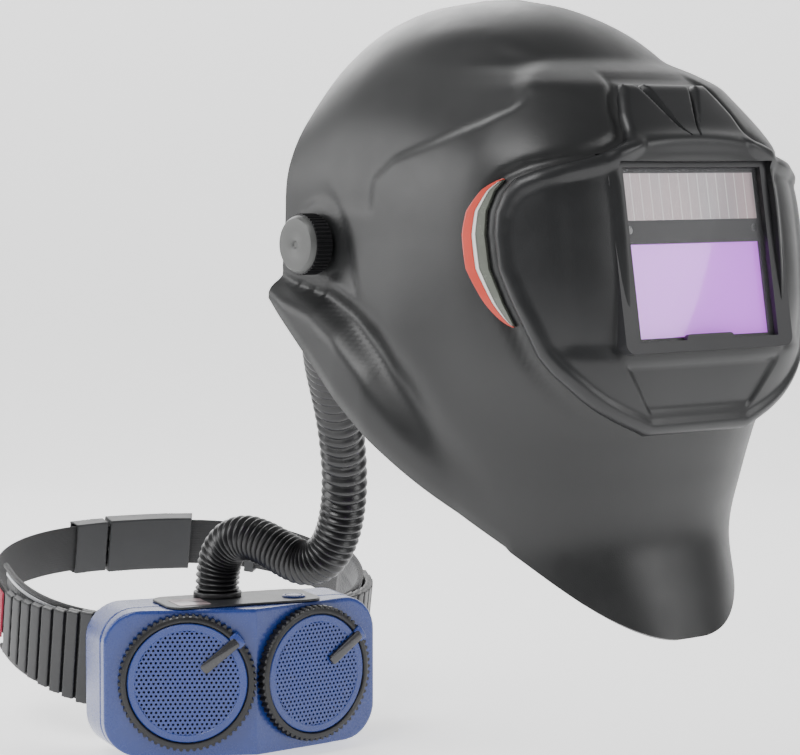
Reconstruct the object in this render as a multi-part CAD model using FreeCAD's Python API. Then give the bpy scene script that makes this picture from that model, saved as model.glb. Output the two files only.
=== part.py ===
"""Powered air respirator: a tilting helmet with a darkening window, a head harness with an air
duct, a breathing hose and a belt-worn blower with two round filters.

Millimetres, +Z up, wearer facing -Y, wearer's right towards -X. The origin is the middle of the
helmet's tilt axis. The blower and its belt are drawn in their own frames and placed at the end.
"""
import FreeCAD, Part
import math
import os

V = FreeCAD.Vector
X_AXIS, Y_AXIS, Z_AXIS = V(1, 0, 0), V(0, 1, 0), V(0, 0, 1)

# ---------------------------------------------------------------- driving dimensions
# helmet shell: height, half width, reach to the front, reach to the rear of SECTION_Y, roundness
SHELL_LEVELS = [
    (-210, 96, 178, 130, 2.4), (-190, 100, 172, 140, 2.4), (-160, 106, 162, 160, 2.4),
    (-125, 116, 165, 180, 2.45), (-90, 121, 172, 190, 2.65), (-45, 121, 178, 190, 3.1),
    (0, 118, 178, 190, 3.4), (38, 114, 169, 150, 3.2), (70, 103, 152, 100, 2.8),
    (98, 84, 124, 88, 2.3), (118, 62, 97, 72, 2.1), (131, 36, 66, 48, 2.0), (137, 8, 36, 14, 2.0)]
SECTION_Y = -20.0           # where each level is widest
SHELL_WALL = 3.0
REAR_RIM_Y = 33.0           # the shell stops here behind the tilt axis
LOWER_EDGE_SLOPE = 0.85     # the lower edge rises towards the rear
LOWER_EDGE_Z = -59.0        # its height over the tilt axis

# front hood that carries the window: height, half width, reach to the front, roundness
HOOD_LEVELS = [(-102, 112, 180, 3.2), (-60, 120, 190, 3.8), (0, 122, 189, 4.0), (48, 117, 180, 3.7),
               (92, 92, 152, 2.9)]
HOOD_WALL = 3.5
# right half of the hood's outline seen from the front: sideways, up
HOOD_OUTLINE = [(36, 89), (42, 62), (76, 54), (106, 43), (114, 18), (112, -8), (104, -45), (82, -78),
                (50, -95)]

# window group, in its own frame: x sideways, y inwards, z up along the window
WINDOW_CENTRE = V(0, -180, -3)
WINDOW_LEAN = 9.5           # degrees, top towards the wearer
FRAME_SIZE = (126, 104)
FRAME_DEPTH = 16.0
CASE_SIZE = (110, 94)
CASE_DEPTH = 9.0
LENS_SIZE = (102, 52)
LENS_Z = -19.0
CELL_SIZE = (100, 25)
CELL_Z = 31.0
SENSOR_Z = 13.5
SENSOR_X = 47.0
DIAL_X, DIAL_Z = 34.0, 30.0

# head harness
BAND_HALF_X, BAND_HALF_Y = 81.0, 101.0
BAND_WALL = 2.4
BAND_HEIGHT = 22.0
BAND_TILT = 20.0            # degrees, lower at the nape
STRAP_WIDTH = 18.0
STUD_R = 5.0
RUNNING_GAP = 0.06
KNOB_R = 17.0
KNOB_FACE_X = 133.0
KNOB_BACK_X = 118.9
DUCT_INNER_R, DUCT_OUTER_R = 107.0, 121.0
DUCT_HALF_WIDTH = 26.0
DUCT_WALL = 2.0
ELBOW_CENTRE = V(0, 131, -14)
ELBOW_BACK_Y = 148.0
HOSE_AXIS = V(0.38, 0.66, -0.645).normalize()   # the way the hose leaves the duct

# hose
HOSE_DIAMETER = 32.0
HOSE_ROUTE = [V(107.99, 405.83, -265), V(107.99, 405.83, -248), V(108, 395, -230), V(111, 377, -222),
              V(116, 358, -225), V(121, 342, -232), V(127, 324, -238), V(133, 306, -233),
              V(138, 292, -216), V(137, 283, -194), V(131, 274, -171), V(121, 264, -148),
              V(109, 254, -127), V(94, 242, -108), V(77, 228, -91), V(60, 212, -77),
              V(43, 195, -65), V(28, 177, -54), V(18.1, 162.4, -44.7), V(10.7, 149.6, -32.2)]

# blower, in its own frame: x to its right seen from the front, y towards the wearer, z up
BLOWER_ORIGIN = V(103.6, 357, -322)
BLOWER_YAW = -16.9
HOUSING_HALF_X = 103.0
HOUSING_BOTTOM, HOUSING_TOP = -54.0, 51.0
HOUSING_SPLIT_Y, HOUSING_BACK_Y = 34.0, 70.0
HOUSING_WALL = 2.5
FILTER_SPACING = 98.6
FILTER_SPLAY = 17.0
FILTER_RING_R, FILTER_RING_DEPTH = 49.0, 7.5
FILTER_BODY_R, FILTER_BODY_DEPTH = 43.0, 22.0
FILTER_NECK_R, FILTER_NECK_END = 18.0, 30.0
GRILLE_R = 42.5
OUTLET_X, OUTLET_Y, OUTLET_R = -10.0, 48.0, 13.5
FAN_X, FAN_Z, FAN_R = 14.0, -10.0, 24.0
MOTOR_R, MOTOR_START_Y, SHAFT_R = 12.5, 28.0, 1.5
PANEL_THICKNESS = 2.0

# belt, in its own frame behind the blower: x sideways, y away from the blower, z across the belt
BELT_TILT = 14.0            # degrees, rising towards the buckle
BELT_START_Y = 84.5         # where the belt's frame starts, behind the blower's front
BELT_X, BELT_HALF_X, BELT_HALF_Y = 10.0, 138.0, 117.0
BELT_SQUARENESS = 0.8
WEBBING_WIDTH, WEBBING_THICKNESS = 38.0, 1.8
PAD_HALF_HEIGHT = 27.0
PAD_THICKNESS = 5.0
SLATS = 9
SLAT_ANGLE = 5.6            # degrees of the loop for each slat of a wing
WING_START = 33.0
WING_HALF_NEAR, WING_HALF_FAR = 38.0, 25.0

# ---------------------------------------------------------------- helpers
NODES = {}


def box(x0, x1, y0, y1, z0, z1):
    return Part.makeBox(x1 - x0, y1 - y0, z1 - z0, V(x0, y0, z0))


def rod(radius, start, direction, length):
    return Part.makeCylinder(radius, length, start, direction)


def pipe(outer, inner, start, direction, length):
    return rod(outer, start, direction, length).cut(rod(inner, start, direction, length))


def fuse(first, *others):
    for other in others:
        first = first.fuse(other)
    return first.removeSplitter()


def cut(first, *others):
    for other in others:
        first = first.cut(other)
    return first


def largest(shape):
    return max(shape.Solids, key=lambda solid: solid.Volume)


def rounded_box(x0, x1, y0, y1, z0, z1, radius, along):
    """A box whose edges along one axis are rounded."""
    solid = box(x0, x1, y0, y1, z0, z1)
    edges = []
    for edge in solid.Edges:
        run = edge.Vertexes[1].Point - edge.Vertexes[0].Point
        if abs(run.normalize().dot(along)) > 0.99:
            edges.append(edge)
    return solid.makeFillet(radius, edges)


def prism(points, start, depth):
    """A closed outline of points, pushed along a vector."""
    wire = Part.makePolygon([p + start for p in points + points[:1]])
    return Part.Face(wire).extrude(depth)


def save(name, *solids):
    NODES[name] = solids[0] if len(solids) == 1 else Part.makeCompound(list(solids))


def mirrored_x(shape):
    return shape.mirror(V(0, 0, 0), X_AXIS)


# ---------------------------------------------------------------- helmet
def section_point(angle, half_width, front, rear, roundness, grow):
    side, ahead = math.sin(angle), math.cos(angle)
    reach = (front + SECTION_Y if ahead >= 0 else rear) + grow
    x = (half_width + grow) * math.copysign(abs(side) ** (2 / roundness), side)
    y = SECTION_Y - reach * math.copysign(abs(ahead) ** (2 / roundness), ahead)
    return x, y


def section_wire(z, half_width, front, rear, roundness, grow):
    points = []
    for step in range(32):
        x, y = section_point(2 * math.pi * step / 32, half_width, front, rear, roundness, grow)
        points.append(V(x, y, z))
    curve = Part.BSplineCurve()
    curve.interpolate(Points=points, PeriodicFlag=True)
    return Part.Wire(curve.toShape())


def helmet_form(grow):
    """The closed form of the helmet's outside, grown or shrunk by a distance."""
    wires = []
    for z, half_width, front, rear, roundness in SHELL_LEVELS:
        lift = grow if z > 90 else 0
        spread = max(grow, 2 - half_width)
        wires.append(section_wire(z + lift, half_width, front, rear, roundness, spread))
    return Part.makeLoft(wires, True, False)


def below_lower_edge():
    """Everything under the sloping lower edge of the helmet."""
    y0, y1 = -300.0, 200.0
    z0 = LOWER_EDGE_SLOPE * y0 + LOWER_EDGE_Z
    z1 = LOWER_EDGE_SLOPE * y1 + LOWER_EDGE_Z
    outline = [V(0, y0, z0), V(0, y1, z1), V(0, y1, -500), V(0, y0, -500)]
    return prism(outline, V(-200, 0, 0), V(400, 0, 0))


def window_frame_placement():
    return FreeCAD.Placement(WINDOW_CENTRE, FreeCAD.Rotation(X_AXIS, -WINDOW_LEAN))


def in_window(shape):
    placed = shape.copy()
    placed.Placement = window_frame_placement().multiply(placed.Placement)
    return placed


def window_passage(width, height):
    return in_window(box(-width / 2, width / 2, -40, 60, -height / 2, height / 2))


def make_shell():
    outside = helmet_form(0)
    inside = helmet_form(-SHELL_WALL)
    behind = box(-200, 200, REAR_RIM_Y, 300, -300, 300)
    below = below_lower_edge()
    shell = cut(outside, inside, behind, below, window_passage(132, 110))
    for side in (-1, 1):
        seat = rod(24, V(side * 117, 0, 0), V(side, 0, 0), 30)
        hole = rod(STUD_R + RUNNING_GAP, V(side * 90, 0, 0), V(side, 0, 0), 60)
        shell = cut(shell, seat, hole)
    shell = largest(shell)
    save("helmet_shell", shell)
    return outside, behind, below


def make_hood():
    def form(grow):
        wires = [section_wire(z, w, f, 150, n, grow) for z, w, f, n in HOOD_LEVELS]
        return Part.makeLoft(wires, True, False)

    right = [V(x, 0, z) for x, z in HOOD_OUTLINE]
    left = [V(-x, 0, z) for x, z in reversed(HOOD_OUTLINE)]
    outline = prism(right + left, V(0, -230, 0), V(0, 125, 0))
    hood = cut(form(0).common(outline), form(-HOOD_WALL), helmet_form(0.4))
    hood = cut(hood, window_passage(FRAME_SIZE[0] + 1, FRAME_SIZE[1] + 1))
    save("front_hood", largest(hood))


def side_band(y_rear, y_front, top, bottom):
    """A curved band of the shell's side in side view, from its rear arc to its front arc."""
    sweep = 16.0
    points_rear = [V(0, y_rear - sweep, top), V(0, y_rear, (top + bottom) / 2 + 8),
                   V(0, y_rear - 1.9 * sweep, bottom)]
    points_front = [V(0, y_front - sweep, top), V(0, y_front, (top + bottom) / 2 + 8),
                    V(0, y_front - 1.9 * sweep, bottom)]
    rear = Part.Arc(*points_rear).toShape()
    front = Part.Arc(*points_front).toShape()
    wire = Part.Wire([rear, Part.makeLine(points_rear[2], points_front[2]), front,
                      Part.makeLine(points_front[0], points_rear[0])])
    face = Part.Face(wire)
    face.translate(V(-135, 0, 0))
    return face.extrude(V(50, 0, 0))


def make_side_trims():
    """Red, white and clear bands on both sides, standing 1.6 mm proud of the shell."""
    layer = cut(helmet_form(2.0), helmet_form(0.1), helmet_form(0.1))
    for name, rear, front, top, bottom in (("side_trim_red", -103.0, -109.0, 37, -39),
                                           ("side_trim_white", -109.2, -112.4, 34, -36),
                                           ("side_insert", -112.6, -117.0, 33, -34)):
        band = largest(layer.common(side_band(rear, front, top, bottom)))
        save(name, band, mirrored_x(band))


def make_window_group():
    fw, fh = FRAME_SIZE[0] / 2, FRAME_SIZE[1] / 2
    cw, ch = CASE_SIZE[0] / 2, CASE_SIZE[1] / 2
    lw, lh = LENS_SIZE[0] / 2, LENS_SIZE[1] / 2
    frame = rounded_box(-fw, fw, -2, FRAME_DEPTH - 2, -fh, fh, 6, Y_AXIS)
    frame = cut(frame, box(-52, 52, -3, 2, -46, 46), box(-cw - .5, cw + .5, .8, 30, -ch - .5, ch + .5))
    tab = rounded_box(-18, 18, -1.9, 0.7, -50, -43, 3, Y_AXIS)
    save("adf_frame", in_window(fuse(frame, tab)))
    save("cover_lens", in_window(box(-cw, cw, .9, 2.1, -ch, ch)))

    front, back = 2.4, 2.4 + CASE_DEPTH
    case = rounded_box(-cw, cw, front, back, -ch, ch, 4, Y_AXIS)
    case = cut(case, box(-50, 50, 0, 5, LENS_Z - 25, LENS_Z + 25),
               box(-lw - .2, lw + .2, front + 1.6, 20, LENS_Z - lh - .2, LENS_Z + lh + .2),
               box(-CELL_SIZE[0] / 2 - .1, CELL_SIZE[0] / 2 + .1, 0, front + 1.4,
                   CELL_Z - CELL_SIZE[1] / 2 - .1, CELL_Z + CELL_SIZE[1] / 2 + .1),
               box(-51, 20, front + 3, 20, 16, 43),
               rod(2.5 + RUNNING_GAP, V(DIAL_X, back - 4, DIAL_Z), Y_AXIS, 8))
    for side in (-1, 1):
        case = cut(case, rod(2.2, V(side * SENSOR_X, 0, SENSOR_Z), Y_AXIS, 5.4))
    save("adf_case", in_window(case))
    save("arc_sensors", *[in_window(rod(2.1, V(side * SENSOR_X, 2.6, SENSOR_Z), Y_AXIS, 2.7))
                          for side in (-1, 1)])
    save("solar_cell", in_window(box(-CELL_SIZE[0] / 2, CELL_SIZE[0] / 2, front + .1, front + 1.3,
                                     CELL_Z - CELL_SIZE[1] / 2, CELL_Z + CELL_SIZE[1] / 2)))
    save("lcd_lens", in_window(box(-lw, lw, front + 1.7, front + 5.7, LENS_Z - lh, LENS_Z + lh)))
    save("adf_circuit_board", in_window(box(-49, 18, 8.8, 10.0, 18, 41)))
    cells = [in_window(rod(7.5, V(x, 5.8, 30), Y_AXIS, 2.8)) for x in (-36, -16)]
    save("adf_batteries", *cells)
    save("inner_cover_lens", in_window(box(-52, 52, back + .2, back + 1.2, LENS_Z - 26.5, LENS_Z + 26.5)))
    retainer = cut(box(-cw, cw, back + 1.4, back + 2.4, -ch, ch), box(-50, 50, 0, 30, -44, 44))
    save("adf_retainer", in_window(retainer))
    dial = fuse(rod(8.5, V(DIAL_X, back + .3, DIAL_Z), Y_AXIS, 3.6),
                rod(2.5, V(DIAL_X, back - 3.6, DIAL_Z), Y_AXIS, 4))
    save("shade_dial", in_window(dial))


def make_face_seal(behind, below):
    band = cut(helmet_form(-9.0), helmet_form(-11.0))
    keep = box(-140, 140, -200, -8, -158, -62)
    band = cut(band.common(keep), below)
    save("face_seal", largest(band))


# ---------------------------------------------------------------- head harness
def ellipse_solid(half_x, half_y, z0, z1):
    big_y = half_y > half_x
    major, minor = max(half_x, half_y), min(half_x, half_y)
    ellipse = Part.Ellipse(V(0, 0, z0), major, minor)
    face = Part.Face(Part.Wire(ellipse.toShape()))
    if big_y:
        face.rotate(V(0, 0, z0), Z_AXIS, 90)
    return face.extrude(V(0, 0, z1 - z0))


def ellipse_ring(half_x, half_y, wall, z0, z1):
    return ellipse_solid(half_x, half_y, z0, z1).cut(ellipse_solid(half_x - wall, half_y - wall, z0, z1))


def in_band(shape):
    placed = shape.copy()
    placed.rotate(V(0, 0, 0), X_AXIS, -BAND_TILT)
    return placed


def make_headband():
    half = BAND_HEIGHT / 2
    band = ellipse_ring(BAND_HALF_X, BAND_HALF_Y, BAND_WALL, -half, half)
    save("headband", in_band(band))
    inner_x, inner_y = BAND_HALF_X - BAND_WALL - .2, BAND_HALF_Y - BAND_WALL - .2
    front = ellipse_ring(inner_x, inner_y, 3, -half - 1, half + 1)
    save("sweatband", in_band(front.common(box(-90, 90, -120, -52, -20, 20))))
    rear = ellipse_ring(inner_x, inner_y, 6, -half - 1, half + 1)
    save("rear_pad", in_band(rear.common(box(-46, 46, 60, 120, -20, 20))))
    return in_band(band)


def make_crown_straps():
    straps = []
    for y, foot in ((-28, 24.0), (32, 4.0)):
        arch = ellipse_ring(81, 97, 2, -STRAP_WIDTH / 2, STRAP_WIDTH / 2)
        arch.rotate(V(0, 0, 0), X_AXIS, 90)
        arch.translate(V(0, y, 0))
        straps.append(arch.common(box(-100, 100, -100, 100, foot, 120)))
    save("crown_straps", *straps)


def make_pivots(band):
    plates, studs, washers = [], [], []
    for side in (-1, 1):
        out = V(side, 0, 0)
        at = lambda x: V(side * x, 0, 0)
        plate = fuse(rod(20, at(107), out, 3), rod(9, at(76), out, 32))
        plate = cut(plate, rod(76, V(0, 0, -40), Z_AXIS, 80), in_band(ellipse_solid(
            BAND_HALF_X, BAND_HALF_Y, -30, 30)), rod(STUD_R, at(90), out, 30))
        plates.append(plate)
        studs.append(rod(STUD_R, at(95), out, 34))
        washers.append(pipe(15, STUD_R + .1, at(110.6), out, 1.5))
        knob = cut(rod(KNOB_R, at(KNOB_BACK_X), out, KNOB_FACE_X - KNOB_BACK_X),
                   rod(STUD_R + RUNNING_GAP, at(100), out, 29.6))
        rim = [edge for edge in knob.Edges if abs(abs(edge.CenterOfMass.x) - KNOB_FACE_X) < .1]
        save("tilt_knob_right" if side < 0 else "tilt_knob_left", knob.makeFillet(2.0, rim))
    save("pivot_plates", *plates)
    save("pivot_studs", *studs)
    save("friction_washers", *washers)


def make_ratchet(band):
    centre_z = -34.5
    housing = rounded_box(-24, 24, 88, 105, centre_z - 15, centre_z + 15, 6, Y_AXIS)
    cavity = rod(7.0, V(0, 97.5, centre_z), Y_AXIS, 5.2)
    bore = rod(3 + RUNNING_GAP, V(0, 97, centre_z), Y_AXIS, 20)
    housing = cut(housing, in_band(ellipse_solid(BAND_HALF_X + .3, BAND_HALF_Y + .3, -30, 30)),
                  cavity, bore)
    save("ratchet_housing", largest(housing))
    teeth = []
    for step in range(24):
        radius = 6.4 if step % 2 else 4.6
        angle = math.pi * step / 12
        teeth.append(V(radius * math.cos(angle), 0, centre_z + radius * math.sin(angle)))
    pinion = fuse(prism(teeth, V(0, 98.0, 0), V(0, 4.2, 0)), rod(3, V(0, 98, centre_z), Y_AXIS, 16))
    save("ratchet_pinion", pinion)
    knob = cut(rod(15, V(0, 105.4, centre_z), Y_AXIS, 9.4), rod(3, V(0, 100, centre_z), Y_AXIS, 14))
    save("ratchet_knob", knob)


def make_air_duct():
    """A flat channel about the tilt axis, from the nape over the crown to the brow."""
    def sector(inner, outer, half_width, start, end):
        ring = pipe(outer, inner, V(-half_width, 0, 0), X_AXIS, 2 * half_width)
        far = 200
        wedge = [V(0, 0, 0)]
        for step in range(9):
            angle = math.radians(start + (end - start) * step / 8)
            wedge.append(V(0, far * math.cos(angle), far * math.sin(angle)))
        return ring.common(prism(wedge, V(-half_width, 0, 0), V(2 * half_width, 0, 0)))

    start, end = -4, 140
    outer = sector(DUCT_INNER_R, DUCT_OUTER_R, DUCT_HALF_WIDTH, start, end)
    inner = sector(DUCT_INNER_R + DUCT_WALL, DUCT_OUTER_R - DUCT_WALL, DUCT_HALF_WIDTH - DUCT_WALL,
                   start - 3, end + 3)
    elbow = rounded_box(-DUCT_HALF_WIDTH, DUCT_HALF_WIDTH, 116, ELBOW_BACK_Y, -25, -3, 5, X_AXIS)
    elbow_inside = box(-DUCT_HALF_WIDTH + 3, DUCT_HALF_WIDTH - 3, 119, 145, -22, -6)
    spigot = rod(14, ELBOW_CENTRE, HOSE_AXIS, 27)
    bore = rod(12, ELBOW_CENTRE, HOSE_AXIS, 40)
    duct = fuse(outer, elbow, spigot)
    duct = cut(duct, inner, elbow_inside, bore, box(-24, 24, 109.5, 118.5, -8, 4))
    save("air_duct", largest(duct))


# ---------------------------------------------------------------- hose
def hose_path(route):
    """Straight runs joined by tangent arcs; prints each arc's radius."""
    edges, radii = [], []
    start = route[0]
    for before, corner, after in zip(route, route[1:], route[2:]):
        back, ahead = before - corner, after - corner
        shorter = min(back.Length, ahead.Length)
        back.normalize()
        ahead.normalize()
        turn = math.pi - back.getAngle(ahead)
        reach = 0.45 * shorter
        radii.append(reach / math.tan(turn / 2))
        entry, leave = corner + back * reach, corner + ahead * reach
        inward = (back + ahead).normalize()
        centre = corner + inward * (radii[-1] / math.cos(turn / 2))
        middle = centre - inward * radii[-1]
        edges.append(Part.LineSegment(start, entry).toShape())
        edges.append(Part.Arc(entry, middle, leave).toShape())
        start = leave
    edges.append(Part.LineSegment(start, route[-1]).toShape())
    print("hose arc radii:", [round(radius, 1) for radius in radii])
    return Part.Wire(edges)


def make_hose():
    path = hose_path(HOSE_ROUTE)
    heading = (HOSE_ROUTE[1] - HOSE_ROUTE[0]).normalize()
    disc = Part.Wire(Part.makeCircle(HOSE_DIAMETER / 2, HOSE_ROUTE[0], heading))
    hose = path.makePipeShell([disc], True, True)
    expected = math.pi * HOSE_DIAMETER ** 2 / 4 * path.Length
    print("hose length %.1f volume ratio %.4f valid %s"
          % (path.Length, hose.Volume / expected, hose.isValid()))
    save("hose", hose)
    cuff_start = ELBOW_CENTRE + HOSE_AXIS * 17
    cuff = pipe(18.5, 14.05, cuff_start, HOSE_AXIS, 10.1)
    cuff = cut(cuff, box(-40, 40, 100, ELBOW_BACK_Y + .1, -26, -2))
    end = HOSE_ROUTE[-1]
    lip = pipe(18.5, 12, ELBOW_CENTRE + HOSE_AXIS * 27.05, HOSE_AXIS,
               (end - ELBOW_CENTRE).dot(HOSE_AXIS) - 27.05)
    save("hose_cuff_upper", fuse(cuff, lip))


# ---------------------------------------------------------------- blower
def on_blower(shape):
    placed = shape.copy()
    turned = FreeCAD.Placement(BLOWER_ORIGIN, FreeCAD.Rotation(Z_AXIS, BLOWER_YAW))
    placed.Placement = turned.multiply(placed.Placement)
    return placed


def filter_axis(side):
    """Centre of a filter's front face and the direction into the blower."""
    splay = math.radians(FILTER_SPLAY)
    return V(side * FILTER_SPACING / 2, 0, 0), V(-side * math.sin(splay), math.cos(splay), 0)


def housing_block(y0, y1):
    block = rounded_box(-HOUSING_HALF_X, HOUSING_HALF_X, y0, y1, HOUSING_BOTTOM, HOUSING_TOP, 26, Y_AXIS)
    return block


def make_front_housing():
    block = housing_block(-8, HOUSING_SPLIT_Y)
    for side in (-1, 1):
        face, inward = filter_axis(side)
        splay = math.radians(FILTER_SPLAY)
        along = V(math.cos(splay), side * math.sin(splay), 0)
        near = face + inward * (FILTER_RING_DEPTH + .5)
        reach = near + along * (side * 120)
        middle = V(0, near.y - near.x * math.tan(splay) * side, 0)
        outline = [middle, reach, reach - inward * 80, V(0, -90, 0)]
        block = cut(block, prism(outline, V(0, 0, -90), V(0, 0, 180)))
    for side in (-1, 1):
        face, inward = filter_axis(side)
        block = cut(block, rod(FILTER_BODY_R + .5, face, inward, FILTER_BODY_DEPTH + .5),
                    rod(FILTER_NECK_R + .1, face, inward, 70))
    motor_room = rod(MOTOR_R + .9, V(FAN_X, MOTOR_START_Y - 1.5, FAN_Z), Y_AXIS, 30)
    block = cut(block, motor_room)
    block = cut(block, box(-98, -84, 28, 40, -40, 38), box(84, 98, 28, 40, -40, 38))
    block = cut(block, rod(6.3, V(40, 24, HOUSING_TOP - 3), Z_AXIS, 10))
    save("blower_front_housing", on_blower(largest(block)))


def make_rear_housing():
    y0, y1 = HOUSING_SPLIT_Y + .2, HOUSING_BACK_Y
    outer = housing_block(y0, y1)
    wall = HOUSING_WALL
    inner = rounded_box(-HOUSING_HALF_X + wall, HOUSING_HALF_X - wall, y0 - 5, y1 - wall,
                        HOUSING_BOTTOM + wall, HOUSING_TOP - wall, 23, Y_AXIS)
    outlet = rod(OUTLET_R - 1.9, V(OUTLET_X, OUTLET_Y, 20), Z_AXIS, 60)
    recess = box(HOUSING_HALF_X - 5, HOUSING_HALF_X + 5, 46, 62, -16, 14)
    pocket = box(HOUSING_HALF_X - 6.5, HOUSING_HALF_X - 2, 44, 64, -18, 16)
    housing = cut(outer, inner, outlet)
    housing = cut(fuse(housing, pocket), recess.cut(box(0, HOUSING_HALF_X - 4.5, 0, 90, -90, 90)))
    for x in (-88, 88):
        for z in (-38, 37):
            housing = cut(housing, rod(1.7, V(x, 50, z), Y_AXIS, 30))
    save("blower_rear_housing", on_blower(largest(housing)))
    save("battery_latch", on_blower(rounded_box(HOUSING_HALF_X - 4.2, HOUSING_HALF_X + 1.0, 46.3, 61.7,
                                                -8, 13.6, 2, X_AXIS)))
    screws = []
    for x in (-88, 88):
        for z in (-38, 37):
            screws.append(on_blower(fuse(rod(3.2, V(x, y1 + .05, z), Y_AXIS, 1.9),
                                         rod(1.6, V(x, y1 - 3.4, z), Y_AXIS, 3.6))))
    save("housing_screws", *screws)


def make_outlet_and_panel():
    top = HOUSING_TOP
    centre = V(OUTLET_X, OUTLET_Y, 0)
    spigot = fuse(pipe(OUTLET_R, OUTLET_R - 3.6, centre + V(0, 0, top + PANEL_THICKNESS + .1), Z_AXIS, 2.2),
                  pipe(OUTLET_R - 2, OUTLET_R - 3.6, centre + V(0, 0, top - 6), Z_AXIS, 8.2))
    save("outlet_spigot", on_blower(spigot))
    panel = rounded_box(-58, 58, 8, 62, top + .1, top + PANEL_THICKNESS, 12, Z_AXIS)
    panel = cut(panel, rod(OUTLET_R - 1.9, centre, Z_AXIS, 90), rod(6.3, V(40, 24, 0), Z_AXIS, 90))
    save("control_panel", on_blower(panel))
    button = rod(6.0, V(40, 24, top - 1.2), Z_AXIS, 5.2)
    save("power_button", on_blower(button))
    ring_top = top + PANEL_THICKNESS + .2
    cuff = pipe(17.5, OUTLET_R + .05, centre + V(0, 0, ring_top), Z_AXIS, 2.2)
    cuff = fuse(cuff, pipe(17.5, OUTLET_R - 2, centre + V(0, 0, ring_top + 2.2), Z_AXIS, 1.6))
    save("hose_cuff_lower", on_blower(cuff))


def make_filters():
    for side, word in ((-1, "right"), (1, "left")):
        face, inward = filter_axis(side)
        at = lambda depth: face + inward * depth
        ring = pipe(FILTER_RING_R, GRILLE_R + .3, at(0), inward, FILTER_RING_DEPTH)
        barrel = pipe(FILTER_BODY_R, FILTER_BODY_R - 2, at(FILTER_RING_DEPTH - 2), inward,
                      FILTER_BODY_DEPTH - FILTER_RING_DEPTH + 2)
        floor = pipe(FILTER_BODY_R, FILTER_NECK_R - 3, at(FILTER_BODY_DEPTH - 2), inward, 2)
        neck = pipe(FILTER_NECK_R, FILTER_NECK_R - 3, at(FILTER_BODY_DEPTH - 2), inward,
                    FILTER_NECK_END - FILTER_BODY_DEPTH + 2)
        shoulder = pipe(FILTER_RING_R, FILTER_BODY_R - 2, at(FILTER_RING_DEPTH - 1.5), inward, 1.5)
        canister = fuse(ring, barrel, floor, neck, shoulder)
        save("filter_canister_" + word, on_blower(canister))
        grille = pipe(GRILLE_R, 1.2, at(.8), inward, 2.2)
        for radius, count in ((12, 8), (23, 14), (34, 22)):
            for step in range(count):
                angle = 2 * math.pi * step / count
                across = V(inward.y, -inward.x, 0)
                spot = at(0) + across * (radius * math.cos(angle)) + Z_AXIS * (radius * math.sin(angle))
                grille = grille.cut(rod(1.4, spot, inward, 6))
        save("filter_grille_" + word, on_blower(grille))
        media = rod(FILTER_BODY_R - 2.6, at(4), inward, FILTER_BODY_DEPTH - 7)
        save("filter_media_" + word, on_blower(media))


def make_fan():
    x, z = FAN_X, FAN_Z
    front, back = HOUSING_SPLIT_Y + 9, HOUSING_BACK_Y - 3
    scroll = rod(33, V(x, front, z), Y_AXIS, back - front)
    channel = box(-28, 12, front, back, z, HOUSING_TOP - HOUSING_WALL - 4)
    volute = fuse(scroll, channel)
    inside = fuse(rod(30.5, V(x, front + 2, z), Y_AXIS, back - front - 4),
                  box(-25.5, 9.5, front + 2, back - 2, z, HOUSING_TOP))
    volute = cut(volute, inside, rod(17, V(x, front - 1, z), Y_AXIS, 5),
                 rod(OUTLET_R - 1.5, V(OUTLET_X, OUTLET_Y, 40), Z_AXIS, 30))
    save("fan_volute", on_blower(largest(volute)))
    blades = [rod(4.5, V(x, front + 3, z), Y_AXIS, back - front - 7),
              rod(FAN_R, V(x, back - 5, z), Y_AXIS, 1.6)]
    count = 18
    for step in range(count):
        blade = box(x + 13, x + FAN_R - .5, front + 4, back - 4.5, z - .7, z + .7)
        blade.rotate(V(x, 0, z), Y_AXIS, 360 * step / count)
        blades.append(blade)
    wheel = fuse(*blades)
    wheel = cut(wheel, rod(1.5, V(x, 0, z), Y_AXIS, 90))
    save("impeller", on_blower(wheel))
    cap = 1.5
    shaft_start = MOTOR_START_Y + cap + .3
    save("motor_shaft", on_blower(rod(SHAFT_R, V(x, shaft_start, z), Y_AXIS, back - 6 - shaft_start)))
    motor = pipe(MOTOR_R, SHAFT_R + RUNNING_GAP, V(x, MOTOR_START_Y + cap, z), Y_AXIS,
                 front - 1 - MOTOR_START_Y - cap)
    motor = motor.fuse(rod(MOTOR_R, V(x, MOTOR_START_Y, z), Y_AXIS, cap)).removeSplitter()
    save("fan_motor", on_blower(motor))


def make_inner_parts():
    save("battery_pack", on_blower(rounded_box(52, 96, 37, 66, -42, 34, 4, Y_AXIS)))
    board = box(-94, -40, 58, 59.6, -30, 34)
    for x, z in ((-80, 10), (-60, -12), (-52, 20)):
        board = board.fuse(box(x - 5, x + 5, 54, 58.1, z - 4, z + 4))
    save("control_board", on_blower(board.removeSplitter()))


# ---------------------------------------------------------------- belt
def in_belt(shape):
    placed = shape.copy()
    tilt = FreeCAD.Placement(V(0, BELT_START_Y, 0), FreeCAD.Rotation(X_AXIS, BELT_TILT))
    turned = FreeCAD.Placement(BLOWER_ORIGIN, FreeCAD.Rotation(Z_AXIS, BLOWER_YAW))
    placed.Placement = turned.multiply(tilt).multiply(placed.Placement)
    return placed


def belt_point(degrees, offset):
    """A point of the belt's loop; 0 is behind the blower, 90 its right seen from the front."""
    angle = math.radians(degrees)
    side, ahead = math.sin(angle), math.cos(angle)
    x = BELT_X + (BELT_HALF_X + offset) * math.copysign(abs(side) ** BELT_SQUARENESS, side)
    y = BELT_HALF_Y - (BELT_HALF_Y + offset) * math.copysign(abs(ahead) ** BELT_SQUARENESS, ahead)
    return V(x, y, 0)


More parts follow.
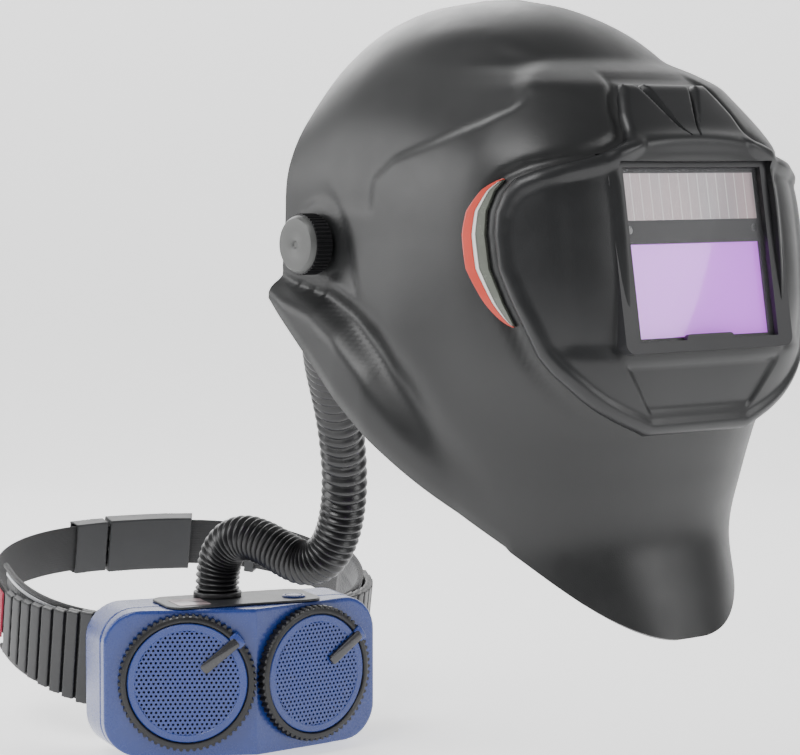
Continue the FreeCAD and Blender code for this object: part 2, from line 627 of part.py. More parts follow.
def belt_strip(start, end, inner, outer, z0, z1, steps=14):
    """A band along the loop between two angles, offsets being outwards from the loop."""
    def curve(offset):
        points = [belt_point(start + (end - start) * k / steps, offset) for k in range(steps + 1)]
        spline = Part.BSplineCurve()
        spline.interpolate(Points=points)
        return spline.toShape(), points[0], points[-1]

    far, far_start, far_end = curve(outer)
    near, near_start, near_end = curve(inner)
    wire = Part.Wire([far, Part.makeLine(far_end, near_end), near, Part.makeLine(near_start, far_start)])
    face = Part.Face(wire)
    face.translate(V(0, 0, z0))
    return face.extrude(V(0, 0, z1 - z0))


def make_wing(side):
    """A rubber wing of slats on a backing, lower and lower away from the blower."""
    wing = None
    for slat in range(SLATS):
        start = WING_START + slat * SLAT_ANGLE
        half = WING_HALF_NEAR + (WING_HALF_FAR - WING_HALF_NEAR) * slat / (SLATS - 1)
        low, high = sorted((side * start, side * (start + SLAT_ANGLE)))
        piece = belt_strip(low, high, 2.2, 5.0, -half, half, 2)
        low, high = sorted((side * (start + .5), side * (start + SLAT_ANGLE - .5)))
        piece = piece.fuse(belt_strip(low, high, 4.5, 8.5, -half + .5, half - .5, 2))
        wing = piece if wing is None else wing.fuse(piece)
    return wing


def make_belt():
    back = HOUSING_BACK_Y + 2.1
    lean = math.tan(math.radians(BELT_TILT))
    outline = [V(0, back, -34), V(0, back, 34), V(0, back + 3, 34), V(0, back + 3 + 68 * lean, -34)]
    save("belt_plate", on_blower(prism(outline, V(-72, 0, 0), V(144, 0, 0))))
    save("belt_pad", in_belt(belt_strip(-93, 93, -.3 - PAD_THICKNESS, -.3, -PAD_HALF_HEIGHT,
                                        PAD_HALF_HEIGHT, 24)))
    save("belt_wings", in_belt(make_wing(-1)), in_belt(make_wing(1)))
    half = WEBBING_WIDTH / 2
    webs = [belt_strip(48, 163, 0, WEBBING_THICKNESS, -half, half, 20),
            belt_strip(199, 312, 0, WEBBING_THICKNESS, -half, half, 20),
            belt_strip(100, 150, 2.6, 2.6 + WEBBING_THICKNESS, -half, half, 12)]
    save("belt_webbing", *[in_belt(web) for web in webs])
    socket = belt_strip(165, 186, -4, 9, -22, 22, 4)
    socket = cut(socket, belt_strip(171, 187, -1, 6, -17, 17, 4), belt_strip(163.4, 167, -1, 6, -20, 20, 2))
    save("buckle_socket", in_belt(largest(socket)))
    tongue = fuse(belt_strip(186.6, 197, -3, 8, -21, 21, 3), belt_strip(173, 188, .5, 4.5, -15, -8, 4),
                  belt_strip(173, 188, .5, 4.5, 8, 15, 4), belt_strip(176, 188, 1, 4, -3, 3, 4))
    tongue = cut(tongue, belt_strip(194.5, 198, -1, 6, -20, 20, 2))
    save("buckle_tongue", in_belt(largest(tongue)))
    slider = cut(belt_strip(140, 144, -2, 7.5, -22, 22, 2), belt_strip(139, 145, -.3, 4.8, -19.5, 19.5, 2))
    save("strap_slider", in_belt(largest(slider)))
    tag = belt_strip(-97.5, -91, 3.0, 4.2, -20, 16, 2)
    save("belt_tag", in_belt(tag))


def main():
    os.makedirs("parts", exist_ok=True)
    outside, behind, below = make_shell()
    make_hood()
    make_side_trims()
    make_window_group()
    make_face_seal(behind, below)
    band = make_headband()
    make_crown_straps()
    make_pivots(band)
    make_ratchet(band)
    make_air_duct()
    make_hose()
    make_front_housing()
    make_rear_housing()
    make_outlet_and_panel()
    make_filters()
    make_fan()
    make_inner_parts()
    make_belt()
    for name, shape in NODES.items():
        print("%-24s solids %d volume %9.0f valid %s"
              % (name, len(shape.Solids), shape.Volume, shape.isValid()))
        shape.exportStep("parts/%s.step" % name)


main()
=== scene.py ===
"""Powered air respirator: the finished look of the tilting helmet, its harness, hose and belt blower.

Metres in the object's own frame: +Z up, wearer facing -Y, origin in the middle of the tilt axis.
"""
import math

import bmesh
import bpy
import numpy as np
from mathutils import Matrix, Vector


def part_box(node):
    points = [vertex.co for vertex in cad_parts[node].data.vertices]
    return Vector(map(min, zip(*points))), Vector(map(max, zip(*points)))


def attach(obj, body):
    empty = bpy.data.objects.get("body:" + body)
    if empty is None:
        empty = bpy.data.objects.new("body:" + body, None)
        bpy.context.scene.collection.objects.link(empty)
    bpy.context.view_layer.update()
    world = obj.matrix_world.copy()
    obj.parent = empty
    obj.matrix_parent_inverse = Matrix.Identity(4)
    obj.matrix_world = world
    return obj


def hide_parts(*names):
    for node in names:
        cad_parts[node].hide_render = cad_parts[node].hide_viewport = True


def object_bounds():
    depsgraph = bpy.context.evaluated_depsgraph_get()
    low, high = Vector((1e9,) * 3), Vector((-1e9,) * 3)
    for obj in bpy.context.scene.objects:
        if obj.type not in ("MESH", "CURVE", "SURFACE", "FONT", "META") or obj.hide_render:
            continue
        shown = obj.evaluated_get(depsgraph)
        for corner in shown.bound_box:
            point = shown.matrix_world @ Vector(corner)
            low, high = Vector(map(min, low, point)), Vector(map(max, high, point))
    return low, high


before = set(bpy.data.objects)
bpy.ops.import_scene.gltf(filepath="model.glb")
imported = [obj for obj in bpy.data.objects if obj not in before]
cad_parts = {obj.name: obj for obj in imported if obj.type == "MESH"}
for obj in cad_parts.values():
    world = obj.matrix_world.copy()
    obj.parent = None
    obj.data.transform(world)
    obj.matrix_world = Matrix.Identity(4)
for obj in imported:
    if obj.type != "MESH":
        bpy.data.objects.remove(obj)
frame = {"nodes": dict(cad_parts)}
CAD_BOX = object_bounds()
MM = 0.001

bl_info = {
    "name": "Powered air respirator",
    "version": (1, 0, 0),
    "blender": (4, 5, 0),
    "location": "3D View > Sidebar > Respirator",
    "description": "Builds the finished look of a powered air respirator round its frame",
    "category": "Object",
}

# ---------------------------------------------------------------- driving shapes, in millimetres
# helmet: height, half width, reach forward, reach back, roundness
SHELL_LEVELS = [
    (-210, 96, 178, 130, 2.4), (-190, 100, 172, 140, 2.4), (-160, 106, 162, 160, 2.4),
    (-125, 116, 165, 180, 2.45), (-90, 121, 172, 190, 2.65), (-45, 121, 178, 190, 3.1),
    (0, 118, 178, 190, 3.4), (38, 114, 169, 150, 3.2), (70, 103, 152, 100, 2.8),
    (98, 84, 124, 88, 2.3), (118, 62, 97, 72, 2.1), (131, 36, 66, 48, 2.0), (137, 8, 36, 14, 2.0),
]
SECTION_Y = -20
REAR_RIM_Y = 33
LOWER_EDGE_SLOPE, LOWER_EDGE_Z = 0.85, -59
# along the lower edge, from the front to the back: where, flare, and the valley above the flare
FLANGE_Y = (-160, -120, -98, -78, -53, -30, -7, 22, 33)
FLANGE_FLARE = (0, 0, 0.6, 4.0, 8.0, 9.0, 8.0, 8.5, 8.0)
VALLEY_AT = (24, 27, 30, 34, 37, 35, 28, 14, 10)
VALLEY_HALF = (14, 15, 15, 14, 11, 8, 6, 4, 4)
VALLEY_DEPTH = (0, 0, 2.0, 4.5, 6.0, 6.5, 6.0, 4.0, 3.0)
# panels of the helmet's side, seen from the side: forward and up
CROWN_PANEL = [
    (-49, 16), (-49, 34), (-60, 43), (-85, 51), (-115, 63), (-128, 71), (-131, 79), (-124, 89),
    (-112, 100), (-95, 111), (-76, 118), (-60, 150), (90, 150), (90, 16),
]
KNOB_PANEL = [
    (2, 50), (-15, 30), (-26, 16), (-32, 3), (-38, -13), (-44, -36), (-22, -24), (30, -18), (60, -14),
    (60, 50),
]
# hood over the window: height, half width, reach forward, roundness
HOOD_LEVELS = [
    (-104, 112, 181, 3.4), (-60, 120, 190, 3.8), (0, 122, 189, 4.0), (48, 117, 180, 3.7),
    (92, 92, 152, 2.9),
]
# right edge of the hood: up, sideways
HOOD_EDGE = [
    (-100, 38), (-96, 48), (-92, 58), (-86, 70), (-80, 79), (-73, 87), (-65, 95), (-56, 101), (-45, 105),
    (-28, 110), (-10, 113), (8, 113), (20, 112), (31, 109), (38, 105), (43, 97), (47, 84), (50, 71),
    (53.5, 57), (58, 47), (64, 44), (72, 42), (81, 37), (89, 31),
]
HOOD_SEAT = 4.6
BUTTON_GAP = 0.45
WINDOW_CENTRE = Vector((0, -180, -3))
WINDOW_LEAN = 9.5
# harness
BAND_HALF_X, BAND_HALF_Y, BAND_TILT = 81.0, 101.0, 20.0
# hose route from the blower up to the nape
HOSE_ROUTE = [
    (107.99, 405.83, -265), (107.99, 405.83, -248), (108, 395, -230), (111, 377, -222),
    (116, 358, -226), (121, 342, -233), (126, 325, -239), (130, 308, -233), (132.5, 296.5, -216),
    (131, 288, -194), (125, 279, -171), (115, 269, -148), (103.5, 258.5, -127), (89, 246, -108),
    (73, 231, -91), (57.5, 214, -77), (43, 195, -65), (28, 177, -54), (18.1, 162.4, -44.7),
    (10.7, 149.6, -32.2),
]
HOSE_LENGTH, HOSE_DIAMETER = 0.428, 0.032
# blower and belt
BLOWER_ORIGIN, BLOWER_YAW = Vector((103.6, 357, -322)), -16.9
FILTER_SPACING, FILTER_SPLAY = 98.6, 17.0
BELT_TILT, BELT_START_Y = 14.0, 84.5
BELT_X, BELT_HALF_X, BELT_HALF_Y, BELT_SQUARENESS = 10.0, 138.0, 117.0, 0.8


# ---------------------------------------------------------------- sizes and colours a user may change
def colour_setting(name, text, value):
    return bpy.props.FloatVectorProperty(
        name=name, description=text, default=value, size=3, min=0, max=1, subtype="COLOR")


def length_setting(name, text, value):
    return bpy.props.FloatProperty(
        name=name, description=text, default=value, min=0, unit="LENGTH", precision=5)


class RespiratorColours(bpy.types.PropertyGroup):
    """Colours of the respirator's materials."""
    shell: colour_setting("Shell", "Matte helmet plastic", (0.013, 0.0135, 0.014))
    hood: colour_setting("Hood", "Plastic round the window", (0.0115, 0.012, 0.013))
    frame: colour_setting("Window frame", "Plastic of the filter frame", (0.017, 0.017, 0.019))
    lens: colour_setting("Lens", "Darkening filter in its light state", (0.62, 0.13, 0.92))
    red: colour_setting("Red trim", "Crescent on the helmet's side", (0.56, 0.05, 0.03))
    hose: colour_setting("Hose", "Corrugated rubber", (0.008, 0.008, 0.009))
    blower: colour_setting("Blower", "Blower housing", (0.014, 0.038, 0.20))
    black: colour_setting("Black plastic", "Rings, knobs and clips", (0.008, 0.008, 0.009))
    buckle: colour_setting("Buckle", "Buckle and slider plastic", (0.026, 0.027, 0.029))
    fabric: colour_setting("Fabric", "Belt pad and harness pads", (0.026, 0.027, 0.029))
    webbing: colour_setting("Webbing", "Woven belt", (0.017, 0.017, 0.018))
    tag: colour_setting("Tag", "Belt end tag", (0.42, 0.012, 0.05))


class RespiratorSizes(bpy.types.PropertyGroup):
    """Sizes of the repeated details."""
    hose_pitch: length_setting("Hose rib pitch", "Mean distance between the hose's ribs", 0.0062)
    hose_groove: length_setting("Hose groove", "Depth of the grooves between ribs", 0.0024)
    hole_pitch: length_setting("Hole pitch", "Distance between the grille's holes", 0.0034)
    hole_radius: length_setting("Hole radius", "Radius of the grille's holes", 0.00092)
    stitch_pitch: length_setting("Stitch pitch", "Distance between stitches", 0.0034)
    ring_ribs: bpy.props.IntProperty(
        name="Ring ribs", description="Ribs round each filter's ring", default=64, min=12, max=200)
    knob_ribs: bpy.props.IntProperty(
        name="Knob ribs", description="Ribs round each side knob", default=44, min=12, max=120)


def colours():
    return bpy.context.scene.respirator_colours


def sizes():
    return bpy.context.scene.respirator_sizes


# ---------------------------------------------------------------- shader maths
class Signal:
    """A number that varies over a surface. Arithmetic on it adds Math nodes."""

    def __init__(self, finish, socket):
        self.finish, self.socket = finish, socket

    def maths(self, operation, *values, clamp=False):
        inputs = dict(enumerate(values))
        settings = {"operation": operation, "use_clamp": clamp}
        return Signal(self.finish, self.finish.node("ShaderNodeMath", settings, inputs).outputs[0])

    def __add__(self, other):
        return self.maths("ADD", self, other)

    __radd__ = __add__

    def __sub__(self, other):
        return self.maths("SUBTRACT", self, other)

    def __rsub__(self, other):
        return self.maths("SUBTRACT", other, self)

    def __mul__(self, other):
        return self.maths("MULTIPLY", self, other)

    __rmul__ = __mul__

    def __truediv__(self, other):
        return self.maths("DIVIDE", self, other)

    def __pow__(self, power):
        return self.maths("POWER", self, power)

    def sine(self):
        return self.maths("SINE", self)

    def size(self):
        return self.maths("ABSOLUTE", self)

    def between(self, low, high):
        """0 below low, 1 above high, in a straight ramp."""
        return self.maths("MULTIPLY", self - low, 1 / (high - low), clamp=True)


class Finish:
    """One material and the nodes that make it."""

    def __init__(self, name, colour, roughness, **shader):
        self.material = bpy.data.materials.new(name)
        self.material.use_nodes = True
        self.material.diffuse_color = (*colour, 1)
        self.tree = self.material.node_tree
        self.shader = self.tree.nodes["Principled BSDF"]
        self.shader.inputs["Base Color"].default_value = (*colour, 1)
        self.shader.inputs["Roughness"].default_value = roughness
        for name_of, value in shader.items():
            self.shader.inputs[name_of.replace("_", " ")].default_value = value

    def node(self, kind, settings=None, inputs=None):
        made = self.tree.nodes.new(kind)
        for key, value in (settings or {}).items():
            if key == "stops":
                self.set_stops(made.color_ramp, value)
            else:
                setattr(made, key, value)
        for key, value in (inputs or {}).items():
            self.feed(made.inputs[key], value)
        return made

    @staticmethod
    def set_stops(ramp, stops):
        while len(ramp.elements) < len(stops):
            ramp.elements.new(1)
        for element, (place, colour) in zip(ramp.elements, stops):
            element.position, element.color = place, (*colour, 1)

    def feed(self, socket, value):
        if isinstance(value, Signal):
            self.tree.links.new(value.socket, socket)
        elif isinstance(value, bpy.types.NodeSocket):
            self.tree.links.new(value, socket)
        else:
            socket.default_value = value

    def place(self):
        """Object coordinates."""
        return self.node("ShaderNodeTexCoord").outputs["Object"]

    def along(self, source=None):
        """The three coordinates of a place as Signals."""
        split = self.node("ShaderNodeSeparateXYZ", inputs={0: source or self.place()})
        return [Signal(self, split.outputs[axis]) for axis in range(3)]

    def surface_map(self):
        """The piece's own map: along it and across it, in metres."""
        return self.along(self.node("ShaderNodeUVMap", {"uv_map": "Flat"}).outputs[0])

    def noise(self, scale, detail=3.0, roughness=0.55, stretch=None):
        source = self.place()
        if stretch:
            source = self.node("ShaderNodeMapping", inputs={"Vector": source, "Scale": stretch}).outputs[0]
        made = self.node("ShaderNodeTexNoise", inputs={
            "Vector": source, "Scale": scale, "Detail": detail, "Roughness": roughness})
        return Signal(self, made.outputs["Fac"])

    def cells(self, scale):
        made = self.node("ShaderNodeTexVoronoi", inputs={"Vector": self.place(), "Scale": scale})
        return Signal(self, made.outputs["Distance"])

    def blend(self, mask, low, high):
        """A colour between two colours or sockets, by a mask."""
        made = self.node("ShaderNodeMix", {"data_type": "RGBA"})
        self.feed(made.inputs["Factor"], mask)
        for socket, value in ((made.inputs[6], low), (made.inputs[7], high)):
            self.feed(socket, (*value, 1) if isinstance(value, tuple) else value)
        return made.outputs[2]

    def colour(self, socket):
        self.feed(self.shader.inputs["Base Color"], socket)

    def rough(self, signal):
        self.feed(self.shader.inputs["Roughness"], signal)

    def bump(self, height, distance, strength=1.0):
        made = self.node("ShaderNodeBump", inputs={
            "Strength": strength, "Distance": distance, "Height": height})
        self.feed(self.shader.inputs["Normal"], made.outputs[0])


def shade(colour, share):
    return tuple(min(1, c * share) for c in colour)


def moulded(name, colour, roughness=0.45, grain=1500, depth=0.00004, wear=1.25, **shader):
    """Moulded plastic: fine grain, faint flow marks, and rubbed places a little paler."""
    colour = tuple(colour)
    made = Finish(name, colour, roughness, **shader)
    cloud = made.noise(9, 4)
    rubbed = made.noise(55, 5, 0.65)
    grains = made.noise(grain, 2)
    made.colour(made.blend((cloud * 0.55 + rubbed * 0.45).between(0.35, 0.7),
                           shade(colour, 0.88), shade(colour, wear)))
    made.rough(roughness + (rubbed - 0.5) * 0.16 + (grains - 0.5) * 0.10)
    made.bump(grains + rubbed * 0.35, depth)
    return made.material


def rubber(name, colour, roughness=0.42):
    """Rubber: dusty in broad patches, with a fine bloom."""
    colour = tuple(colour)
    made = Finish(name, colour, roughness, Coat_Weight=0.12, Coat_Roughness=0.3)
    dust = made.noise(38, 6, 0.7)
    fine = made.noise(900, 2)
    made.colour(made.blend(dust.between(0.45, 0.8), shade(colour, 0.85), shade(colour, 1.7)))
    made.rough(roughness + (dust - 0.5) * 0.22)
    made.bump(fine, 0.00004)
    return made.material


def metal(name, colour, roughness=0.3):
    """Turned or stamped metal with fine brushing along one way."""
    made = Finish(name, colour, roughness, Metallic=1.0)
    brushed = made.noise(260, 3, 0.6, stretch=(1, 14, 1))
    made.colour(made.blend(brushed, shade(colour, 0.8), shade(colour, 1.1)))
    made.rough(roughness + (brushed - 0.5) * 0.2)
    made.bump(brushed, 0.00002)
    return made.material


def woven(name, colour, pitch=0.0013, mapped=True):
    """Webbing: warp ribs along the strap and weft across, on the piece's own map, with painted shade between the
    threads and painted highlight on their crowns.
    """
    colour = tuple(colour)
    made = Finish(name, colour, 0.82, Sheen_Weight=0.25, Sheen_Roughness=0.5)
    along, across, _ = made.surface_map() if mapped else made.along()
    turn = 2 * math.pi / pitch
    warp = (across * (turn * 0.62)).sine().size()
    phase = (across * (turn * 0.31)).sine().between(-0.08, 0.08)
    weft = (along * turn + phase * math.pi).sine().size()
    thread = warp * 0.55 + weft * 0.45
    fuzz = made.noise(1300, 3)
    # The thread relief that makes the bump also sets the colour, darker in the grooves and paler on the crowns:
    # painted shade and highlight of the weave; the fuzz is the fibres' own tone.
    made.colour(made.blend((thread * 0.8 + fuzz * 0.35).between(0.15, 1.0),
                           shade(colour, 0.45), shade(colour, 1.7)))
    made.rough(0.72 + fuzz * 0.2)
    made.bump(thread + fuzz * 0.25, 0.00035)
    return made.material


def knitted(name, colour, scale=520, fleck=1.8):
    """Spacer fabric or fleece: small loops with flecks."""
    colour = tuple(colour)
    made = Finish(name, colour, 0.9, Sheen_Weight=0.35, Sheen_Roughness=0.55)
    loops = made.cells(scale)
    cloud = made.noise(60, 4)
    fuzz = made.noise(1500, 2)
    made.colour(made.blend((loops * 0.7 + fuzz * 0.5).between(0.2, 0.95),
                           shade(colour, 0.55), shade(colour, fleck)))
    made.rough(0.84 + (cloud - 0.5) * 0.12)
    made.bump(fuzz * 0.3 - loops + cloud * 0.6, 0.0004)
    return made.material


def solar_cell(name):
    """Amorphous cells: dusky pink strips parted by thin pale lines."""
    low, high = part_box("solar_cell")
    strip = (high.x - low.x) / 14
    made = Finish(name, (0.40, 0.32, 0.35), 0.22, Coat_Weight=0.6, Coat_Roughness=0.05)
    x, _, z = made.along()
    beat = ((x - low.x) * (math.pi / strip)).sine().size()
    line = 1 - beat.between(0.05, 0.13)
    hue = made.noise(30, 2, stretch=(1, 1, 0.2))
    cell = made.blend(hue.between(0.3, 0.7), (0.36, 0.33, 0.36), (0.50, 0.36, 0.38))
    made.colour(made.blend(line, cell, (0.85, 0.84, 0.84)))
    made.bump(line + (z * 4000).sine() * 0.05, 0.00003)
    return made.material


def lens_glass(name, colour):
    """The light filter: an even violet mirror with a faint sheen, and a painted glow in its own colour."""
    colour = tuple(colour)
    made = Finish(name, colour, 0.12, Coat_Weight=1.0, Coat_Roughness=0.02)
    # Emission in the lens's own colour is a painted glow: the filter shines though no lamp is in it.
    made.shader.inputs["Emission Color"].default_value = (*colour, 1)
    made.shader.inputs["Emission Strength"].default_value = 0.75
    tint = made.noise(9, 2)
    made.colour(made.blend(tint.between(0.3, 0.7), shade(colour, 0.94), shade(colour, 1.05)))
    made.rough(0.1 + tint * 0.05)
    made.bump(tint, 0.00001)
    return made.material


def clear_cover(name):
    """Polycarbonate cover: almost clear, with hairline scuffs in its gloss."""
    made = Finish(name, (0.9, 0.9, 0.95), 0.04, Alpha=0.03, Specular_IOR_Level=0.4)
    scuffs = made.noise(420, 2, 0.8, stretch=(1, 1, 9))
    made.rough(0.03 + scuffs.between(0.62, 0.8) * 0.25)
    made.colour(made.blend(scuffs, (0.88, 0.88, 0.93), (0.94, 0.94, 0.98)))
    return made.material


def circuit_board(name):
    made = Finish(name, (0.01, 0.09, 0.03), 0.4, Coat_Weight=0.5, Coat_Roughness=0.15)
    x, _, z = made.along()
    tracks = (x * 2600).sine().between(0.82, 0.9) * (z * 900).sine().between(-0.2, 0.1)
    pads = made.cells(260).between(0.08, 0.14)
    copper = made.blend(pads, (0.5, 0.42, 0.2), (0.008, 0.07, 0.025))
    made.colour(made.blend(tracks, copper, (0.02, 0.16, 0.06)))
    made.bump(tracks, 0.00003)
    return made.material


def pleated(name, colour):
    """Filter paper folded in fine pleats, with painted shade in the troughs of the folds and painted light on their
    ridges.
    """
    made = Finish(name, colour, 0.95)
    x, _, z = made.along()
    fold = (x * 1600 + z * 300).sine()
    fibre = made.noise(700, 4)
    # The fold wave that makes the bump also darkens the troughs and lightens the ridges: painted shade and light of
    # the pleats; the fibre noise is the paper's own tone.
    made.colour(made.blend((fold * 0.5 + fibre).between(0, 1.2), shade(colour, 0.5), shade(colour, 1.3)))
    made.bump(fold + fibre * 0.4, 0.0005)
    return made.material


def printed_label(name):
    """A blank foil label with a soft pinkish sheen and two plain bands."""
    made = Finish(name, (0.36, 0.27, 0.28), 0.35, Coat_Weight=0.4, Coat_Roughness=0.12)
    along, across, _ = made.surface_map()
    band = across.between(0.0115, 0.0118) * (1 - across.between(0.0148, 0.0151))
    cloud = made.noise(70, 3)
    base = made.blend(cloud.between(0.3, 0.7), (0.30, 0.22, 0.23), (0.44, 0.35, 0.36))
    made.colour(made.blend(band * along.between(0.004, 0.0042), base, (0.12, 0.11, 0.12)))
    made.rough(0.3 + cloud * 0.12)
    return made.material


def reflective(name):
    """Silver tape: glass beads in a fine grid."""
    made = Finish(name, (0.72, 0.73, 0.75), 0.35, Metallic=0.3)
    beads = made.cells(2600)
    made.colour(made.blend(beads.between(0.1, 0.6), (0.85, 0.86, 0.88), (0.5, 0.51, 0.54)))
    made.rough(0.25 + beads * 0.4)
    made.bump(beads, 0.00006)
    return made.material


FINISHES = {}


def make_finishes():
    c = colours()
    FINISHES.update({
        "shell": moulded("shell_plastic", c.shell, 0.40, grain=1700, depth=0.00005),
        "hood": moulded("hood_plastic", c.hood, 0.38, grain=1700, depth=0.00005),
        "frame": moulded("frame_plastic", c.frame, 0.42),
        "case": moulded("cartridge_plastic", shade(c.frame, 0.75), 0.5),
        "inner": moulded("inner_plastic", (0.02, 0.02, 0.021), 0.5),
        "band": moulded("band_plastic", (0.022, 0.022, 0.024), 0.42),
        "duct": moulded("duct_plastic", (0.03, 0.03, 0.032), 0.5),
        "red": moulded("trim_red", c.red, 0.33, grain=900, wear=1.1, Coat_Weight=0.25),
        "white": moulded("trim_white", (0.82, 0.81, 0.79), 0.3, grain=900, wear=1.04),
        "insert": moulded("trim_clear", (0.13, 0.14, 0.12), 0.25, grain=700, Coat_Weight=0.5),
        "knob": moulded("knob_plastic", c.black, 0.36),
        "knob_face": moulded("knob_face", (0.075, 0.077, 0.075), 0.42),
        "hose": rubber("hose_rubber", c.hose, 0.3),
        "cuff": rubber("cuff_rubber", (0.014, 0.014, 0.015), 0.4),
        "wing": rubber("wing_rubber", (0.016, 0.0165, 0.018), 0.42),
        "blue": moulded("blower_blue", c.blower, 0.27, grain=800, depth=0.00003, wear=1.15,
                        Coat_Weight=0.35, Coat_Roughness=0.18),
        "dark": moulded("blower_dark", (0.028, 0.029, 0.032), 0.35),
        "black": moulded("filter_black", c.black, 0.38),
        "media": pleated("filter_media", (0.02, 0.022, 0.03)),
        "badge": moulded("badge_plastic", (0.014, 0.014, 0.017), 0.22, Coat_Weight=0.6),
        "label": printed_label("panel_label"),
        "screw": metal("screw_steel", (0.42, 0.42, 0.43), 0.32),
        "steel": metal("spring_steel", (0.5, 0.5, 0.5), 0.25),
        "cell_metal": metal("battery_metal", (0.62, 0.62, 0.6), 0.22),
        "motor": metal("motor_steel", (0.45, 0.45, 0.47), 0.34),
        "battery": moulded("battery_wrap", (0.02, 0.05, 0.12), 0.3),
        "lens": lens_glass("filter_glass", c.lens),
        "cover": clear_cover("cover_glass"),
        "solar": solar_cell("solar"),
        "board": circuit_board("board"),
        "buckle": moulded("buckle_plastic", c.buckle, 0.45, grain=900),
        "fabric": knitted("pad_fabric", c.fabric),
        "seal": knitted("seal_fabric", (0.028, 0.03, 0.034), 900, 1.5),
        "webbing": woven("webbing", c.webbing),
        "tag": woven("tag_red", c.tag, 0.0007),
        "piping": knitted("piping_fabric", (0.018, 0.018, 0.019), 1400, 1.4),
        "thread": moulded("thread", (0.34, 0.34, 0.34), 0.7, grain=2500),
        "reflective": reflective("reflective_tape"),
    })


# ---------------------------------------------------------------- mesh helpers
def new_object(name, mesh):
    made = bpy.data.objects.new(name, mesh)
    bpy.context.scene.collection.objects.link(made)
    return made


def mesh_object(name, points, faces, at=None):
    """A piece from points in millimetres, placed by a matrix in millimetres."""
    mesh = bpy.data.meshes.new(name)
    mesh.from_pydata([tuple(p) for p in np.asarray(points, float)], [], faces)
    if at is not None:
        mesh.transform(at)
    mesh.transform(Matrix.Scale(MM, 4))
    mesh.update()
    return new_object(name, mesh)


def quads(rows, columns, wrap=False):
    last = columns if wrap else columns - 1
    return [(r * columns + c, r * columns + (c + 1) % columns,
             (r + 1) * columns + (c + 1) % columns, (r + 1) * columns + c)
            for r in range(rows - 1) for c in range(last)]


def edit(piece, work):
    """Runs a function on the piece's mesh as a bmesh."""
    bm = bmesh.new()
    bm.from_mesh(piece.data)
    work(bm)
    bm.to_mesh(piece.data)
    bm.free()
    piece.data.update()


def freeze(piece):
    """Applies the piece's modifiers to its mesh."""
    bpy.context.view_layer.update()
    evaluated = piece.evaluated_get(bpy.context.evaluated_depsgraph_get())
    mesh = bpy.data.meshes.new_from_object(evaluated)
    piece.modifiers.clear()
    piece.data = mesh
    mesh.name = piece.name
    return piece


def modifier(piece, kind, **settings):
    made = piece.modifiers.new(kind.title(), kind)
    for key, value in settings.items():
        setattr(made, key, value)
    return made


def smooth(piece, angle=35):
    piece.data.shade_smooth()
    piece.data.set_sharp_from_angle(angle=math.radians(angle))
    return piece


def complete(piece, body, finish, slot, *nodes):
    """Gives the piece its finish and body, and hides the frame's nodes that it stands for."""
    if finish:
        piece.data.materials.clear()
        piece.data.materials.append(FINISHES[finish])
    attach(piece, body)
    if nodes:
        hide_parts(*nodes)
    return piece


def keep(node, finish):
    """Shows one of the frame's own nodes with a finish."""
    shown = frame["nodes"][node]
    shown.data.materials.clear()
    shown.data.materials.append(FINISHES[finish])


def softened(name, node, voxel, passes):
    """A copy of a node with its edges rounded as a mould leaves them."""
    mesh = frame["nodes"][node].data.copy()
    mesh.name = name
    piece = new_object(name, mesh)
    edit(piece, lambda bm: bmesh.ops.remove_doubles(bm, verts=bm.verts, dist=1e-6))
    modifier(piece, "REMESH", mode="VOXEL", voxel_size=voxel * MM)
    modifier(piece, "SMOOTH", factor=0.5, iterations=passes)
    freeze(piece)
    piece.data.shade_smooth()
    return piece


def ease_off(bm):
    """Draws a piece in by the gap it needs to slide in its hole."""
    for vertex in bm.verts:
        vertex.co -= vertex.normal * BUTTON_GAP * MM


def axis_matrix(centre, axis, up=(0, 0, 1)):
    """A frame whose Z is the axis, in millimetres."""
    z = Vector(axis).normalized()
    x = Vector(up).cross(z).normalized()
    y = z.cross(x)
    made = Matrix((x, y, z)).transposed().to_4x4()
    made.translation = Vector(centre)
    return made


def lathe(name, profile, at, sides=96, bevel=0.0):
    """A closed turned piece: radius and height along the axis, drawn anticlockwise."""
    angles = np.linspace(0, 2 * math.pi, sides, endpoint=False)
    points = [(r * math.cos(a), r * math.sin(a), h) for r, h in profile + [profile[0]] for a in angles]
    piece = mesh_object(name, points, quads(len(profile) + 1, sides, True), at)

    def close(bm):
        bmesh.ops.remove_doubles(bm, verts=bm.verts, dist=1e-7)
        bmesh.ops.recalc_face_normals(bm, faces=bm.faces)

    edit(piece, close)
    if bevel:
        modifier(piece, "BEVEL", width=bevel * MM, segments=3, limit_method="ANGLE", angle_limit=0.6)
        freeze(piece)
    return smooth(piece)


def slab(name, outline, low, high, at, bevel=0.6, segments=3):
    """A plate with rounded edges: its outline in a plane, and two heights."""
    count = len(outline)
    points = [(x, y, low) for x, y in outline] + [(x, y, high) for x, y in outline]
    faces = [tuple(reversed(range(count))), tuple(range(count, 2 * count))]
    faces += [(k, (k + 1) % count, count + (k + 1) % count, count + k) for k in range(count)]
    piece = mesh_object(name, points, faces, at)
    edit(piece, lambda bm: bmesh.ops.recalc_face_normals(bm, faces=bm.faces))
    modifier(piece, "BEVEL", width=bevel * MM, segments=segments, limit_method="ANGLE", angle_limit=0.6)
    freeze(piece)
    return smooth(piece)


def rounded_outline(x0, x1, y0, y1, radius, steps=6):
    points = []
    for cx, cy, start in ((x1, y1, 0), (x0, y1, 90), (x0, y0, 180), (x1, y0, 270)):
        cx += -radius if cx == x1 else radius
        cy += -radius if cy == y1 else radius
        for step in range(steps + 1):
            angle = math.radians(start + 90 * step / steps)
            points.append((cx + radius * math.cos(angle), cy + radius * math.sin(angle)))
    return points


